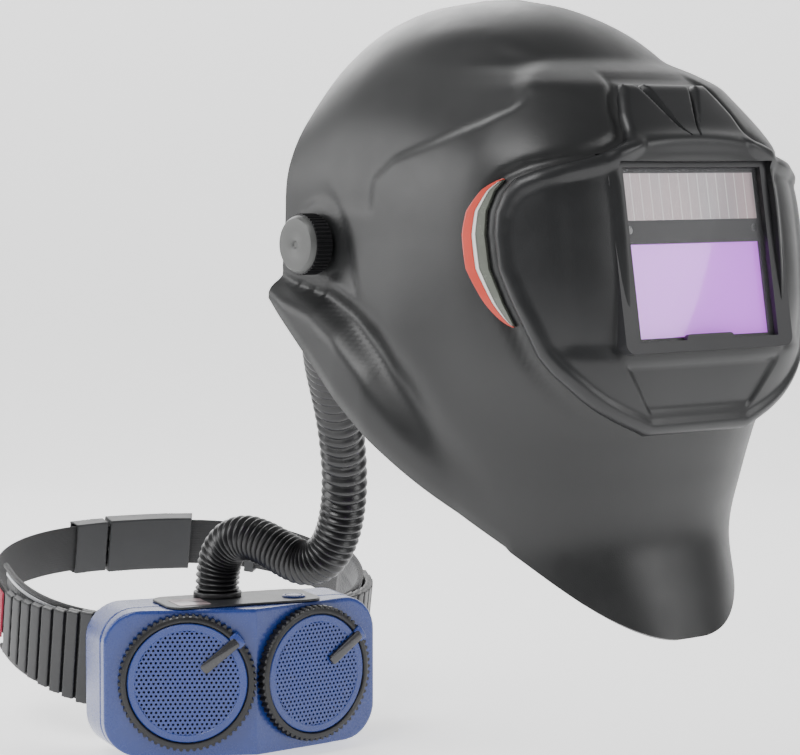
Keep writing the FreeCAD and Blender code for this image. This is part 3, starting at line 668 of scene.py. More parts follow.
# ---------------------------------------------------------------- repeats made with geometry nodes
class Repeat:
    """A geometry node tree under construction, and its run on a piece."""

    def __init__(self, name, **inputs):
        self.tree = bpy.data.node_groups.new(name, "GeometryNodeTree")
        self.tree.interface.new_socket("Geometry", in_out="OUTPUT", socket_type="NodeSocketGeometry")
        self.values = {}
        self.entry = self.tree.nodes.new("NodeGroupInput")
        for key, (kind, value) in inputs.items():
            socket = self.tree.interface.new_socket(key, in_out="INPUT", socket_type="NodeSocket" + kind)
            self.values[socket.identifier] = value
        self.name = name

    def given(self, key):
        return self.entry.outputs[key]

    def node(self, kind, settings=None, inputs=None):
        made = self.tree.nodes.new(kind)
        for key, value in (settings or {}).items():
            setattr(made, key, value)
        for key, value in (inputs or {}).items():
            if isinstance(value, bpy.types.NodeSocket):
                self.tree.links.new(value, made.inputs[key])
            else:
                made.inputs[key].default_value = value
        return made

    def result(self, geometry, finish):
        """Realises the instances, gives them their material and makes a plain mesh."""
        real = self.node("GeometryNodeRealizeInstances", inputs={0: geometry})
        merged = self.node("GeometryNodeMergeByDistance", inputs={"Geometry": real.outputs[0], "Distance": 2e-6})
        painted = self.node("GeometryNodeSetMaterial", inputs={
            "Geometry": merged.outputs[0], "Material": FINISHES[finish]})
        leave = self.tree.nodes.new("NodeGroupOutput")
        self.tree.links.new(painted.outputs[0], leave.inputs[0])
        piece = new_object(self.name, bpy.data.meshes.new(self.name))
        run = piece.modifiers.new(self.name, "NODES")
        run.node_group = self.tree
        for identifier, value in self.values.items():
            run[identifier] = value
        return freeze(piece)


def ring_of_ribs(name, count, radius, width, height, length, finish, at):
    """Ribs side by side round a ring; the frame's Z is the ring's axis, and the ribs start at 0."""
    build = Repeat(name, Count=("Int", count), Radius=("Float", radius * MM), Width=("Float", width * MM),
                   Length=("Float", length * MM), Height=("Float", height * MM))
    ring = build.node("GeometryNodeMeshCircle", inputs={
        "Vertices": build.given("Count"), "Radius": build.given("Radius")})
    half = build.node("ShaderNodeMath", {"operation": "MULTIPLY"}, {0: build.given("Width"), 1: 0.5})
    rib = build.node("GeometryNodeMeshCylinder", inputs={
        "Vertices": 8, "Radius": half.outputs[0], "Depth": build.given("Length")})
    tall = build.node("ShaderNodeMath", {"operation": "DIVIDE"}, {
        0: build.given("Height"), 1: build.given("Width")})
    scale = build.node("ShaderNodeCombineXYZ", inputs={"X": tall.outputs[0], "Y": 1.0, "Z": 1.0})
    turned = build.node("FunctionNodeAlignRotationToVector", {"axis": "X"}, {
        "Vector": build.node("GeometryNodeInputPosition").outputs[0]})
    spread = build.node("GeometryNodeInstanceOnPoints", inputs={
        "Points": ring.outputs[0], "Instance": rib.outputs["Mesh"], "Rotation": turned.outputs[0],
        "Scale": scale.outputs[0]})
    piece = build.result(spread.outputs[0], finish)
    lift = Matrix.Translation((0, 0, length / 2 * MM))
    place = at.copy()
    place.translation = at.translation * MM
    piece.data.transform(place @ lift)
    return smooth(piece, 50)


def hole_cell(pitch, radius, thickness):
    """One six-sided cell of a perforated plate, with its round hole."""
    outer = pitch / math.sqrt(3)
    points, faces = [], []
    rims = [(outer, 0), (radius, 0), (radius, -thickness), (outer, -thickness)]
    for reach, height in rims:
        for step in range(12):
            angle = math.radians(30 * step + 30)
            flat = 1.0 if reach == radius or step % 2 == 0 else math.cos(math.radians(30))
            points.append((reach * flat * math.cos(angle), reach * flat * math.sin(angle), height))
    for level in range(3):
        for step in range(12):
            after = (step + 1) % 12
            faces.append((level * 12 + step, level * 12 + after,
                          (level + 1) * 12 + after, (level + 1) * 12 + step))
    mesh = bpy.data.meshes.new("hole_cell")
    mesh.from_pydata(points, [], faces)
    return new_object("hole_cell", mesh)


def perforated_disc(name, radius, thickness, finish, at):
    """A disc of round holes in staggered rows, solid between them."""
    pitch, hole = sizes().hole_pitch, sizes().hole_radius
    cell = hole_cell(pitch, hole, thickness * MM)
    row = pitch * math.sqrt(3) / 2
    count = 2 * int(radius * MM / row) + 1
    build = Repeat(name, Pitch=("Float", pitch), Row=("Float", row), Radius=("Float", radius * MM),
                   Cell=("Object", cell))
    grid = build.node("GeometryNodeMeshGrid", inputs={
        "Size X": pitch * (count - 1), "Size Y": row * (count - 1), "Vertices X": count,
        "Vertices Y": count})
    place = build.node("GeometryNodeInputPosition").outputs[0]
    split = build.node("ShaderNodeSeparateXYZ", inputs={0: place})
    level = build.node("ShaderNodeMath", {"operation": "DIVIDE"}, {0: split.outputs[1], 1: build.given("Row")})
    whole = build.node("ShaderNodeMath", {"operation": "ROUND"}, {0: level.outputs[0]})
    odd = build.node("ShaderNodeMath", {"operation": "FLOORED_MODULO"}, {0: whole.outputs[0], 1: 2.0})
    half = build.node("ShaderNodeMath", {"operation": "MULTIPLY"}, {0: build.given("Pitch"), 1: 0.5})
    shift = build.node("ShaderNodeMath", {"operation": "MULTIPLY"}, {0: odd.outputs[0], 1: half.outputs[0]})
    moved = build.node("GeometryNodeSetPosition", inputs={
        "Geometry": grid.outputs[0],
        "Offset": build.node("ShaderNodeCombineXYZ", inputs={"X": shift.outputs[0]}).outputs[0]})
    reach = build.node("ShaderNodeVectorMath", {"operation": "LENGTH"}, {0: place})
    outside = build.node("FunctionNodeCompare", {"operation": "GREATER_THAN"}, {
        "A": reach.outputs["Value"], "B": build.given("Radius")})
    kept = build.node("GeometryNodeDeleteGeometry", {"domain": "POINT"}, {
        "Geometry": moved.outputs[0], "Selection": outside.outputs[0]})
    look = build.node("GeometryNodeObjectInfo", inputs={"Object": build.given("Cell")})
    spread = build.node("GeometryNodeInstanceOnPoints", inputs={
        "Points": kept.outputs[0], "Instance": look.outputs["Geometry"]})
    piece = build.result(spread.outputs[0], finish)
    bpy.data.objects.remove(cell)
    where = at.copy()
    where.translation = at.translation * MM
    piece.data.transform(where)
    piece.data.shade_flat()
    return piece


def stitches(name, line, finish, pitch=None, width=0.00055):
    """Stitches along a line of points in millimetres."""
    path = new_object(name + "_line", bpy.data.meshes.new(name + "_line"))
    path.data.from_pydata([tuple(Vector(p) * MM) for p in line], [(k, k + 1) for k in range(len(line) - 1)], [])
    build = Repeat(name, Line=("Object", path), Pitch=("Float", pitch or sizes().stitch_pitch),
                   Width=("Float", width))
    look = build.node("GeometryNodeObjectInfo", inputs={"Object": build.given("Line")})
    curve = build.node("GeometryNodeMeshToCurve", inputs={0: look.outputs["Geometry"]})
    points = build.node("GeometryNodeCurveToPoints", {"mode": "LENGTH"}, {
        "Curve": curve.outputs[0], "Length": build.given("Pitch")})
    long = build.node("ShaderNodeMath", {"operation": "MULTIPLY"}, {0: build.given("Pitch"), 1: 0.33})
    bead = build.node("GeometryNodeMeshUVSphere", inputs={"Segments": 6, "Rings": 5, "Radius": 1.0})
    size = build.node("ShaderNodeCombineXYZ", inputs={
        "X": build.given("Width"), "Y": build.given("Width"), "Z": long.outputs[0]})
    spread = build.node("GeometryNodeInstanceOnPoints", inputs={
        "Points": points.outputs[0], "Instance": bead.outputs["Mesh"],
        "Rotation": points.outputs["Rotation"], "Scale": size.outputs[0]})
    piece = build.result(spread.outputs[0], finish)
    bpy.data.objects.remove(path)
    return smooth(piece, 60)


# ---------------------------------------------------------------- helmet forms
def ease(value):
    value = np.clip(value, 0, 1)
    return value * value * (3 - 2 * value)


def rows_between(levels, count):
    """Rows of a form, smooth from level to level and evenly spaced over its side."""
    table = np.array(levels, float)
    at = np.concatenate([[0], np.cumsum(np.hypot(np.diff(table[:, 0]), np.diff(table[:, 1])))])
    slope = np.gradient(table, at, axis=0)
    where = np.linspace(0, at[-1], count)
    k = np.clip(np.searchsorted(at, where, side="right") - 1, 0, len(at) - 2)
    span = (at[k + 1] - at[k])[:, None]
    t = ((where - at[k]) / span[:, 0])[:, None]
    return ((2 * t**3 - 3 * t**2 + 1) * table[k] + (t**3 - 2 * t**2 + t) * span * slope[k]
            + (3 * t**2 - 2 * t**3) * table[k + 1] + (t**3 - t**2) * span * slope[k + 1])


def rows_at(levels, heights):
    """Rows of a form at given heights."""
    dense = rows_between(levels, 600)
    return np.stack([np.interp(heights, dense[:, 0], dense[:, k]) for k in range(dense.shape[1])], axis=1)


def section(half_width, front, rear, roundness, grow, count, limit=math.pi):
    """Points of one level, evenly spaced from one side round the front to the other."""
    angles = np.linspace(-limit, limit, 1600)
    side, ahead = np.sin(angles), np.cos(angles)
    reach = np.where(ahead >= 0, front + SECTION_Y, rear) + grow
    x = (half_width + grow) * np.sign(side) * np.abs(side) ** (2 / roundness)
    y = SECTION_Y - reach * np.sign(ahead) * np.abs(ahead) ** (2 / roundness)
    run = np.concatenate([[0], np.cumsum(np.hypot(np.diff(x), np.diff(y)))])
    at = np.linspace(0, run[-1], count)
    return np.interp(at, run, x), np.interp(at, run, y), at - run[-1] / 2


def outward(grid, wrap):
    """Outward directions of a grid of points, its rows going up."""
    padded = np.concatenate([grid[:, -1:], grid, grid[:, :1]], axis=1) if wrap else grid
    around = np.gradient(padded, axis=1)
    if wrap:
        around = around[:, 1:-1]
    normal = np.cross(around, np.gradient(grid, axis=0))
    return normal / np.maximum(np.linalg.norm(normal, axis=2, keepdims=True), 1e-9)


def depth_in(polygon, x, y):
    """How far each point lies inside a polygon; negative outside."""
    polygon = np.array(polygon, float)
    nearest = np.full(x.shape, 1e9)
    inside = np.zeros(x.shape, bool)
    for (x0, y0), (x1, y1) in zip(polygon, np.roll(polygon, -1, axis=0)):
        dx, dy = x1 - x0, y1 - y0
        t = np.clip(((x - x0) * dx + (y - y0) * dy) / (dx * dx + dy * dy), 0, 1)
        nearest = np.minimum(nearest, np.hypot(x - x0 - t * dx, y - y0 - t * dy))
        crosses = ((y0 > y) != (y1 > y)) & (x < dx * (y - y0) / (dy if dy else 1e-9) + x0)
        inside ^= crosses
    return np.where(inside, nearest, -nearest)


def shell_relief(x, y, z):
    """How far the helmet's outside stands off its plain form: flange, valley and side panels."""
    above = (z - LOWER_EDGE_SLOPE * y - LOWER_EDGE_Z) / math.hypot(1, LOWER_EDGE_SLOPE)
    flare = np.interp(y, FLANGE_Y, FLANGE_FLARE)
    middle = np.interp(y, FLANGE_Y, VALLEY_AT)
    half = np.interp(y, FLANGE_Y, VALLEY_HALF)
    deep = np.interp(y, FLANGE_Y, VALLEY_DEPTH)
    edge = middle - half
    lobe = flare * (1 - ease((above - edge + 5) / (half + 5)))
    lobe -= 1.5 * ease((6 - above) / 6) * (flare > 0)
    valley = deep * np.exp(-(((above - middle) / half) ** 2) * 1.6)
    crown = 2.6 * ease(depth_in(CROWN_PANEL, y, z) / 9) * (1 - ease((y + 62) / 60)) * (1 - ease((z - 98) / 22))
    knob = 2.4 * ease(depth_in(KNOB_PANEL, y, z) / 8) * (1 - ease((z - 10) / 34))
    return lobe - valley - crown - knob


def build_shell():
    rows = rows_between(SHELL_LEVELS, 170)
    columns = 330
    grid = np.zeros((len(rows), columns, 3))
    flat = np.zeros((len(rows), columns))
    seated = np.zeros((len(rows), columns))
    hood_rows = rows_at(HOOD_LEVELS, np.clip(rows[:, 0], -104, 92))
    for k, (z, half_width, front, rear, roundness) in enumerate(rows):
        x, y, run = section(half_width, front, rear, roundness, 0, columns + 1)
        _, hood_width, hood_front, hood_roundness = hood_rows[k]
        hx, hy, hood_run = section(hood_width, hood_front, 150, hood_roundness, -HOOD_SEAT, 1200)
        share = (ease((z + 104) / 50) * (1 - ease((z - 84) / 18))) * (1 - ease((y + 108) / 45))
        x = x * (1 - share) + np.interp(run, hood_run, hx) * share
        y = y * (1 - share) + np.interp(run, hood_run, hy) * share
        grid[k, :, 0], grid[k, :, 1], grid[k, :, 2] = x[:-1], y[:-1], z
        flat[k], seated[k] = run[:-1], share[:-1]
    off = shell_relief(grid[..., 0], grid[..., 1], grid[..., 2])
    inset = depth_in(hood_outline(), flat, grid[..., 2])
    off -= 2.6 * np.exp(-(((inset + 1.0) / 2.6) ** 2)) * seated
    grid += outward(grid, True) * off[..., None]
    seat = np.hypot(grid[..., 1], grid[..., 2])
    level = np.sign(grid[..., 0]) * 116.6
    near = (1 - ease((seat - 20) / 7)) * (np.abs(grid[..., 0]) > 90)
    grid[..., 0] = grid[..., 0] * (1 - near) + level * near
    count = grid.shape[0] * columns
    points = np.concatenate([grid.reshape(-1, 3), [[0, -31, 137.1]]])
    faces = quads(len(rows), columns, True)
    last = (len(rows) - 1) * columns
    faces += [(last + c, last + (c + 1) % columns, count) for c in range(columns)]
    shell = mesh_object("helmet_shell_moulding", points, faces)

    def trim(bm):
        for middle, normal in (((0, REAR_RIM_Y * MM, 0), (0, 1, 0)),
                               ((0, 0, LOWER_EDGE_Z * MM), (0, LOWER_EDGE_SLOPE, -1))):
            geometry = bm.verts[:] + bm.edges[:] + bm.faces[:]
            bmesh.ops.bisect_plane(bm, geom=geometry, plane_co=middle, plane_no=normal, clear_outer=True)
        open_window(bm, 65, 54)

    edit(shell, trim)
    modifier(shell, "SOLIDIFY", thickness=3.0 * MM, offset=-1)
    freeze(shell)
    return smooth(shell, 50)


def window_place():
    return Matrix.Translation(WINDOW_CENTRE) @ Matrix.Rotation(math.radians(-WINDOW_LEAN), 4, "X")


def open_window(bm, half_width, half_height):
    """Cuts the opening for the window frame through a mesh, with straight edges."""
    place = window_place()
    turn = place.to_3x3()
    for corner in ((half_width, 0), (-half_width, 0), (0, half_height), (0, -half_height)):
        local = Vector((corner[0], 0, corner[1]))
        near = [f for f in bm.faces if f.calc_center_median().y < -0.1]
        geometry = list({v for f in near for v in f.verts}) + list({e for f in near for e in f.edges}) + near
        bmesh.ops.bisect_plane(bm, geom=geometry, plane_co=(place @ local) * MM,
                               plane_no=turn @ local.normalized())
    back = place.inverted()
    inside = []
    for face in bm.faces:
        local = back @ (face.calc_center_median() / MM)
        if abs(local.y) < 50 and abs(local.x) < half_width and abs(local.z) < half_height:
            inside.append(face)
    bmesh.ops.delete(bm, geom=inside, context="FACES")


def hood_relief(x, z, inset):
    """Cheek recesses, brow arch and grooves, the lower facet and the rim of the hood."""
    side = np.abs(x)
    off = -2.4 * ease((inset - 6) / 5) * (1 - ease((z - 50) / 10))
    cheek = ease((side - 59) / 6) * (1 - ease((side - 86) / 12)) * ease((z + 58) / 9) * (1 - ease((z - 36) / 10))
    off -= 2.4 * cheek
    arch = np.exp(-(((z - 56 + 0.0016 * x * x) / 5.5) ** 2)) * (1 - ease((side - 56) / 10))
    off += 3.6 * arch
    share = np.clip((88 - z) / 30, 0, 1)
    line = 20 - 17 * share
    width = 3.6 * (1 - share) + 0.3
    off -= 4.0 * np.clip(1 - np.abs(side - line) / width, 0, 1) * (share < 0.99)
    slope = 60 - 0.75 * np.clip(-60 - z, 0, 40)
    off -= 2.0 * ease((slope - side) / 4) * ease((-z - 59) / 4) * (1 - ease((-z - 84) / 5))
    return off


def hood_limit(half_width, roundness, reach):
    return math.asin(min(1, (reach / half_width)) ** (roundness / 2))


def hood_outline():
    """The hood's edge laid flat: distance round the form from its middle, and height."""
    edge = np.array(HOOD_EDGE, float)
    right = []
    for (height, reach), (_, half_width, front, roundness) in zip(edge, rows_at(HOOD_LEVELS, edge[:, 0])):
        limit = hood_limit(half_width, roundness, reach)
        right.append((section(half_width, front, 150, roundness, 0, 100, limit)[2][-1], height))
    right = np.array(right)
    return np.concatenate([right, (right * (-1, 1))[::-1]])


def build_hood():
    edge_z, edge_x = np.array(HOOD_EDGE, float).T
    bands = [(-100, -60, 26), (-60, 36, 42), (36, 62, 40), (62, 89, 20)]
    heights = np.concatenate([np.linspace(a, b, n, endpoint=False) for a, b, n in bands] + [[89]])
    rows = rows_at(HOOD_LEVELS, heights)
    columns = 141
    grid = np.zeros((len(rows), columns, 3))
    flat = np.zeros((len(rows), columns))
    reach = np.interp(heights, edge_z, edge_x)
    for k, (z, half_width, front, roundness) in enumerate(rows):
        limit = hood_limit(half_width, roundness, reach[k])
        x, y, run = section(half_width, front, 150, roundness, 0, columns, limit)
        grid[k, :, 0], grid[k, :, 1], grid[k, :, 2] = x, y, z
        flat[k] = run
    height_of = np.repeat(heights[:, None], columns, axis=1)
    inset = np.maximum(depth_in(hood_outline(), flat, height_of), 0)
    lip = 5.5
    drop = 5.0 * (1 - np.sqrt(1 - np.clip(1 - inset / lip, 0, 1) ** 2))
    off = hood_relief(grid[..., 0], grid[..., 2], inset) - drop
    grid += outward(grid, False) * off[..., None]
    hood = mesh_object("window_hood_moulding", grid.reshape(-1, 3), quads(len(rows), columns))
    edit(hood, lambda bm: open_window(bm, 57.4, 48.6))
    modifier(hood, "SOLIDIFY", thickness=3.2 * MM, offset=-1)
    freeze(hood)
    return smooth(hood, 40)


# ---------------------------------------------------------------- strips that follow a line
def build_trim(name, near, far, top, bottom, lift):
    """Crescent strips on both sides, set back from the hood's edge by near to far."""
    heights = np.linspace(bottom, top, 70)
    steps = 9
    right = hood_outline()[:len(HOOD_EDGE)]
    share = np.sqrt(np.clip(1 - ((heights - (top + bottom) / 2) / ((top - bottom) / 2)) ** 2, 0.01, 1))
    points, faces = [], []
    for side in (-1, 1):
        start = len(points)
        for k, (z, half_width, front, roundness) in enumerate(rows_at(HOOD_LEVELS, heights)):
            x, y, run = section(half_width, front, 150, roundness, lift - HOOD_SEAT, 1200)
            edge = np.interp(z, right[:, 1], right[:, 0])
            reach = np.sort(side * (edge + share[k] * np.linspace(near, far, steps)))
            points += list(zip(np.interp(reach, run, x), np.interp(reach, run, y), [z] * steps))
        faces += [tuple(start + corner for corner in face) for face in quads(len(heights), steps)]
    trim = mesh_object(name, points, faces)
    modifier(trim, "SOLIDIFY", thickness=2.4 * MM, offset=-1)
    modifier(trim, "BEVEL", width=0.4 * MM, segments=2, limit_method="ANGLE")
    freeze(trim)
    return smooth(trim, 40)


def blower_place():
    return Matrix.Translation(BLOWER_ORIGIN) @ Matrix.Rotation(math.radians(BLOWER_YAW), 4, "Z")


def belt_place():
    lifted = Matrix.Translation((0, BELT_START_Y, 0)) @ Matrix.Rotation(math.radians(BELT_TILT), 4, "X")
    return blower_place() @ lifted


def belt_point(degrees, offset=0.0, z=0.0):
    side, ahead = math.sin(math.radians(degrees)), math.cos(math.radians(degrees))
    x = BELT_X + (BELT_HALF_X + offset) * math.copysign(abs(side) ** BELT_SQUARENESS, side)
    y = BELT_HALF_Y - (BELT_HALF_Y + offset) * math.copysign(abs(ahead) ** BELT_SQUARENESS, ahead)
    return Vector((x, y, z))


def band_place():
    return Matrix.Rotation(math.radians(-BAND_TILT), 4, "X")


def band_point(degrees, offset=0.0, z=0.0):
    angle = math.radians(degrees)
    return Vector(((BAND_HALF_X + offset) * math.sin(angle), -(BAND_HALF_Y + offset) * math.cos(angle), z))


def swept(name, centres, outers, ups, profile, at, close_ends=True):
    """A bar along a line. The profile holds (outwards, up) points, anticlockwise, at each station."""
    stations, count = len(centres), len(profile(0.0))
    points, run = [], [0.0]
    for k in range(stations):
        if k:
            run.append(run[-1] + (centres[k] - centres[k - 1]).length)
    for k in range(stations):
        for out, up in profile(run[k] / run[-1]):
            points.append(centres[k] + outers[k] * out + ups[k] * up)
    faces = quads(stations, count, True)
    if close_ends:
        faces += [tuple(range(count)), tuple((stations - 1) * count + k for k in reversed(range(count)))]
    piece = mesh_object(name, points, faces, at)
    flat = piece.data.uv_layers.new(name="Flat")
    around = [0.0]
    shape = profile(0.5)
    for k in range(count):
        here, after = shape[k], shape[(k + 1) % count]
        around.append(around[-1] + math.dist(here, after))
    for poly in piece.data.polygons:
        for loop in poly.loop_indices:
            vertex = piece.data.loops[loop].vertex_index
            flat.data[loop].uv = (run[vertex // count] * MM, around[vertex % count] * MM)
    edit(piece, lambda bm: bmesh.ops.recalc_face_normals(bm, faces=bm.faces))
    return smooth(piece, 50)


def along_loop(point, start, end, steps):
    """Centres, outward directions and up directions along a loop, between two angles."""
    angles = [start + (end - start) * k / steps for k in range(steps + 1)]
    centres = [point(a) for a in angles]
    outers = []
    for a in angles:
        heading = (point(a + 0.5) - point(a - 0.5)).normalized()
        outers.append(heading.cross(Vector((0, 0, 1))).normalized())
    return centres, outers, [Vector((0, 0, 1))] * len(centres)


def rounded_bar(inner, outer, low, high, radius, steps=3):
    """Profile of a flat bar with rounded corners, as (outwards, up) points."""
    radius = min(radius, (outer - inner) / 2 - 0.01, (high - low) / 2 - 0.01)
    points = []
    for cx, cy, start in ((outer - radius, high - radius, 0), (inner + radius, high - radius, 90),
                          (inner + radius, low + radius, 180), (outer - radius, low + radius, 270)):
        for step in range(steps + 1):
            angle = math.radians(start + 90 * step / steps)
            points.append((cx + radius * math.cos(angle), cy + radius * math.sin(angle)))
    return points


def loop_strip(name, point, at, start, end, inner, outer, low, high, radius, steps=40, finish=None):
    centres, outers, ups = along_loop(point, start, end, steps)
    piece = swept(name, centres, outers, ups, lambda t: rounded_bar(inner, outer, low, high, radius), at)
    if finish:
        piece.data.materials.append(FINISHES[finish])
    return piece


def padded_strip(name, point, at, start, end, inner, outer, half, steps, channels=(), puckers=0):
    """A stuffed strip: crowned faces, rounded rims, sewn channels along it and soft puckers."""
    centres, outers, ups = along_loop(point, start, end, steps)
    heights = np.linspace(-half, half, 27)

    def profile(t):
        ends = math.sqrt(max(0.05, 1 - (2 * abs(t - 0.5)) ** 14))
        middle = (inner + outer) / 2
        thick = (outer - inner) / 2 * ends
        fullness = []
        for z in heights:
            crown = max(0.08, 1 - abs(z / half) ** 5) ** 0.5
            for line in channels:
                crown *= 1 - 0.55 * math.exp(-((z - line * half) / 1.7) ** 2)
            fullness.append(crown * (1 - 0.05 * math.sin(puckers * 2 * math.pi * t + z * 0.12)))
        rim = half * (0.985 + 0.015 * ends)
        up = [(middle + thick * f, z / half * rim) for z, f in zip(heights, fullness)]
        down = [(middle - thick * f, z / half * rim) for z, f in zip(heights[::-1], fullness[::-1])]
        return up + down

    piece = swept(name, centres, outers, ups, profile, at)
    modifier(piece, "SUBSURF", levels=1, render_levels=1)
    freeze(piece)
    piece.data.shade_smooth()
    return piece


# ---------------------------------------------------------------- operators
class PieceOperator(bpy.types.Operator):
    """Shared settings of the operators that build pieces."""
    bl_idname = "respirator.piece"
    bl_label = "Piece"
    bl_options = {"REGISTER", "UNDO"}

    def build(self):
        raise NotImplementedError

    def execute(self, context):
        self.build()
        return {"FINISHED"}


class RESPIRATOR_OT_stage(PieceOperator):
    """Camera, floor, backdrop and soft lights"""
    bl_idname = "respirator.stage"
    bl_label = "Stage and camera"

    def build(self):
        camera = bpy.data.objects.new("camera", bpy.data.cameras.new("camera"))
        bpy.context.scene.collection.objects.link(camera)
        camera.data.lens, camera.data.sensor_width = 126.0, 36.0
        camera.data.clip_end = 50
        turn, dip = math.radians(-39.75), math.radians(4.5)
        right = Vector((math.cos(turn), math.sin(turn), 0))
        level = Vector((-math.sin(turn), math.cos(turn), 0))
        ahead = level * math.cos(dip) - Vector((0, 0, math.sin(dip)))
        up = right.cross(ahead)
        camera.location = -(right * 0.0442 + up * 0.080 + ahead * 1.6279)
        camera.rotation_mode = "QUATERNION"
        camera.rotation_quaternion = Matrix((right, up, -ahead)).transposed().to_quaternion()
        bpy.context.scene.camera = camera
        self.floor()
        self.lights()

    def floor(self):
        ground = CAD_BOX[0].z / MM - 6
        reach, curve = 2600, 700
        profile = [(-reach, 0), (reach - curve, 0)]
        profile += [(reach - curve + curve * math.sin(a), curve * (1 - math.cos(a)))
                    for a in np.linspace(0.1, math.pi / 2, 12)]
        profile.append((reach, 3400))
        turned = Matrix.Rotation(math.radians(-39.75), 4, "Z")
        across = (-3600, 3600)
        points = [(x, y, ground + z) for y, z in profile for x in across]
        floor = mesh_object("floor", points, quads(len(profile), 2), turned)
        floor.data.shade_smooth()
        made = Finish("paper_floor", (0.9, 0.9, 0.9), 0.9)
        cloud = made.noise(3, 2)
        made.colour(made.blend(cloud, (0.90, 0.90, 0.90), (0.94, 0.94, 0.94)))
        made.shader.inputs["Emission Color"].default_value = (1, 1, 1, 1)
        made.shader.inputs["Emission Strength"].default_value = 0.95
        floor.data.materials.append(made.material)

    def lights(self):
        world = bpy.data.worlds.new("studio")
        bpy.context.scene.world = world
        world.use_nodes = True
        back = world.node_tree.nodes["Background"]
        back.inputs[0].default_value = (1, 1, 1, 1)
        back.inputs[1].default_value = 0.32
        turn = Matrix.Rotation(math.radians(-39.75), 4, "Z")
        for name, place, size, power in (
                ("key", (-0.9, -0.9, 1.5), 1.1, 26), ("left", (-1.7, 0.1, 0.5), 1.2, 16),
                ("back", (-0.4, 1.6, 1.0), 1.2, 14), ("right", (1.7, -0.6, 0.5), 0.9, 9)):
            light = bpy.data.lights.new(name, "AREA")
            light.shape, light.size, light.energy = "DISK", size, power
            holder = bpy.data.objects.new(name, light)
            bpy.context.scene.collection.objects.link(holder)
            holder.location = turn @ Vector(place)
            holder.rotation_mode = "QUATERNION"
            aim = Vector((0, 0.05, -0.05)) - holder.location
            holder.rotation_quaternion = aim.to_track_quat("-Z", "Y")


class RESPIRATOR_OT_hose(PieceOperator):
    """The corrugated breathing hose and its two cuffs"""
    bl_idname = "respirator.hose"
    bl_label = "Hose"

    def centreline(self):
        data = bpy.data.curves.new("hose_line", "CURVE")
        data.dimensions = "3D"
        line = data.splines.new("NURBS")
        line.points.add(len(HOSE_ROUTE) - 1)
        for point, place in zip(line.points, HOSE_ROUTE):
            point.co = (*(Vector(place) * MM), 1)
        line.use_endpoint_u = True
        line.order_u = 3
        line.resolution_u = 64
        holder = new_object("hose_line", data)
        bpy.context.view_layer.update()
        mesh = bpy.data.meshes.new_from_object(holder)
        path = [v.co.copy() for v in mesh.vertices]
        bpy.data.objects.remove(holder)
        return path

    def build(self):
        path = self.centreline()
        run = np.concatenate([[0], np.cumsum([(b - a).length for a, b in zip(path, path[1:])])])
        line = np.array(path)
        length = run[-1]
        turns = length / sizes().hose_pitch
        # ribs are pressed together near the blower and drawn out where the hose stands upright
        share = np.linspace(0, 1, 2001)
        density = 1.45 - 0.75 * ease((share - 0.30) / 0.2) + 0.15 * ease((share - 0.85) / 0.15)
        phase = np.concatenate([[0], np.cumsum((density[1:] + density[:-1]) / 2)])
        phase *= turns / phase[-1]
        steps = int(turns) * 8
        marks = np.interp(np.linspace(0, phase[-1], steps + 1), phase, share) * length
        ring = 44
        normal = Vector((1, 0, 0))
        points = []
        for k, mark in enumerate(marks):
            here = Vector([np.interp(mark, run, line[:, a]) for a in range(3)])
            ends = [min(max(mark + d, 0), length) for d in (-0.002, 0.002)]
            before, after = (Vector([np.interp(e, run, line[:, a]) for a in range(3)]) for e in ends)
            heading = (after - before).normalized()
            normal = (normal - heading * normal.dot(heading)).normalized()
            other = heading.cross(normal)
            beat = 0.5 - 0.5 * math.cos(2 * math.pi * (k % 8) / 8)
            radius = HOSE_DIAMETER / 2 - sizes().hose_groove * (1 - beat**0.7)
            for a in range(ring):
                angle = 2 * math.pi * a / ring
                points.append((here + normal * (radius * math.cos(angle)) + other * (radius * math.sin(angle))) / MM)
        faces = quads(len(marks), ring, True)
        faces += [tuple(reversed(range(ring))), tuple((len(marks) - 1) * ring + a for a in range(ring))]
        hose = mesh_object("corrugated_hose", points, faces)
        edit(hose, lambda bm: bmesh.ops.recalc_face_normals(bm, faces=bm.faces))
        smooth(hose, 60)
        complete(hose, "root", "hose", "hose_rubber", "hose")
        for name, node in (("upper_hose_cuff", "hose_cuff_upper"), ("lower_hose_cuff", "hose_cuff_lower")):
            cuff = softened(name, node, 0.7, 4)
            complete(cuff, "root", "cuff", "cuff_rubber", node)


class RESPIRATOR_OT_helmet(PieceOperator):
    """Helmet shell and the hood round its window"""
    bl_idname = "respirator.helmet"
    bl_label = "Helmet"

    def build(self):
        complete(build_shell(), "visor", "shell", "shell_plastic", "helmet_shell")
        complete(build_hood(), "visor", "hood", "hood_plastic", "front_hood")
        for node, near, far, finish, lift in (("side_trim_red", 9.6, 16, "red", 1.4),
                                              ("side_trim_white", 6.8, 9.2, "white", 1.0),
                                              ("side_insert", 0.5, 6.4, "insert", 0.6)):
            strips = build_trim(node + "_strips", near, far, 37, -40, lift)
            slot = "trim_" + {"insert": "clear"}.get(finish, finish)
            complete(strips, "visor", finish, slot, node)


class RESPIRATOR_OT_window(PieceOperator):
    """Frame, cover, solar cell, lens and the parts behind them"""
    bl_idname = "respirator.window"
    bl_label = "Window"

    def build(self):
        for node, finish in (
                ("adf_frame", "frame"), ("cover_lens", "cover"), ("adf_case", "case"),
                ("arc_sensors", "badge"), ("solar_cell", "solar"), ("lcd_lens", "lens"),
                ("adf_circuit_board", "board"), ("adf_batteries", "cell_metal"),
                ("inner_cover_lens", "cover"), ("adf_retainer", "steel"), ("shade_dial", "knob")):
            keep(node, finish)


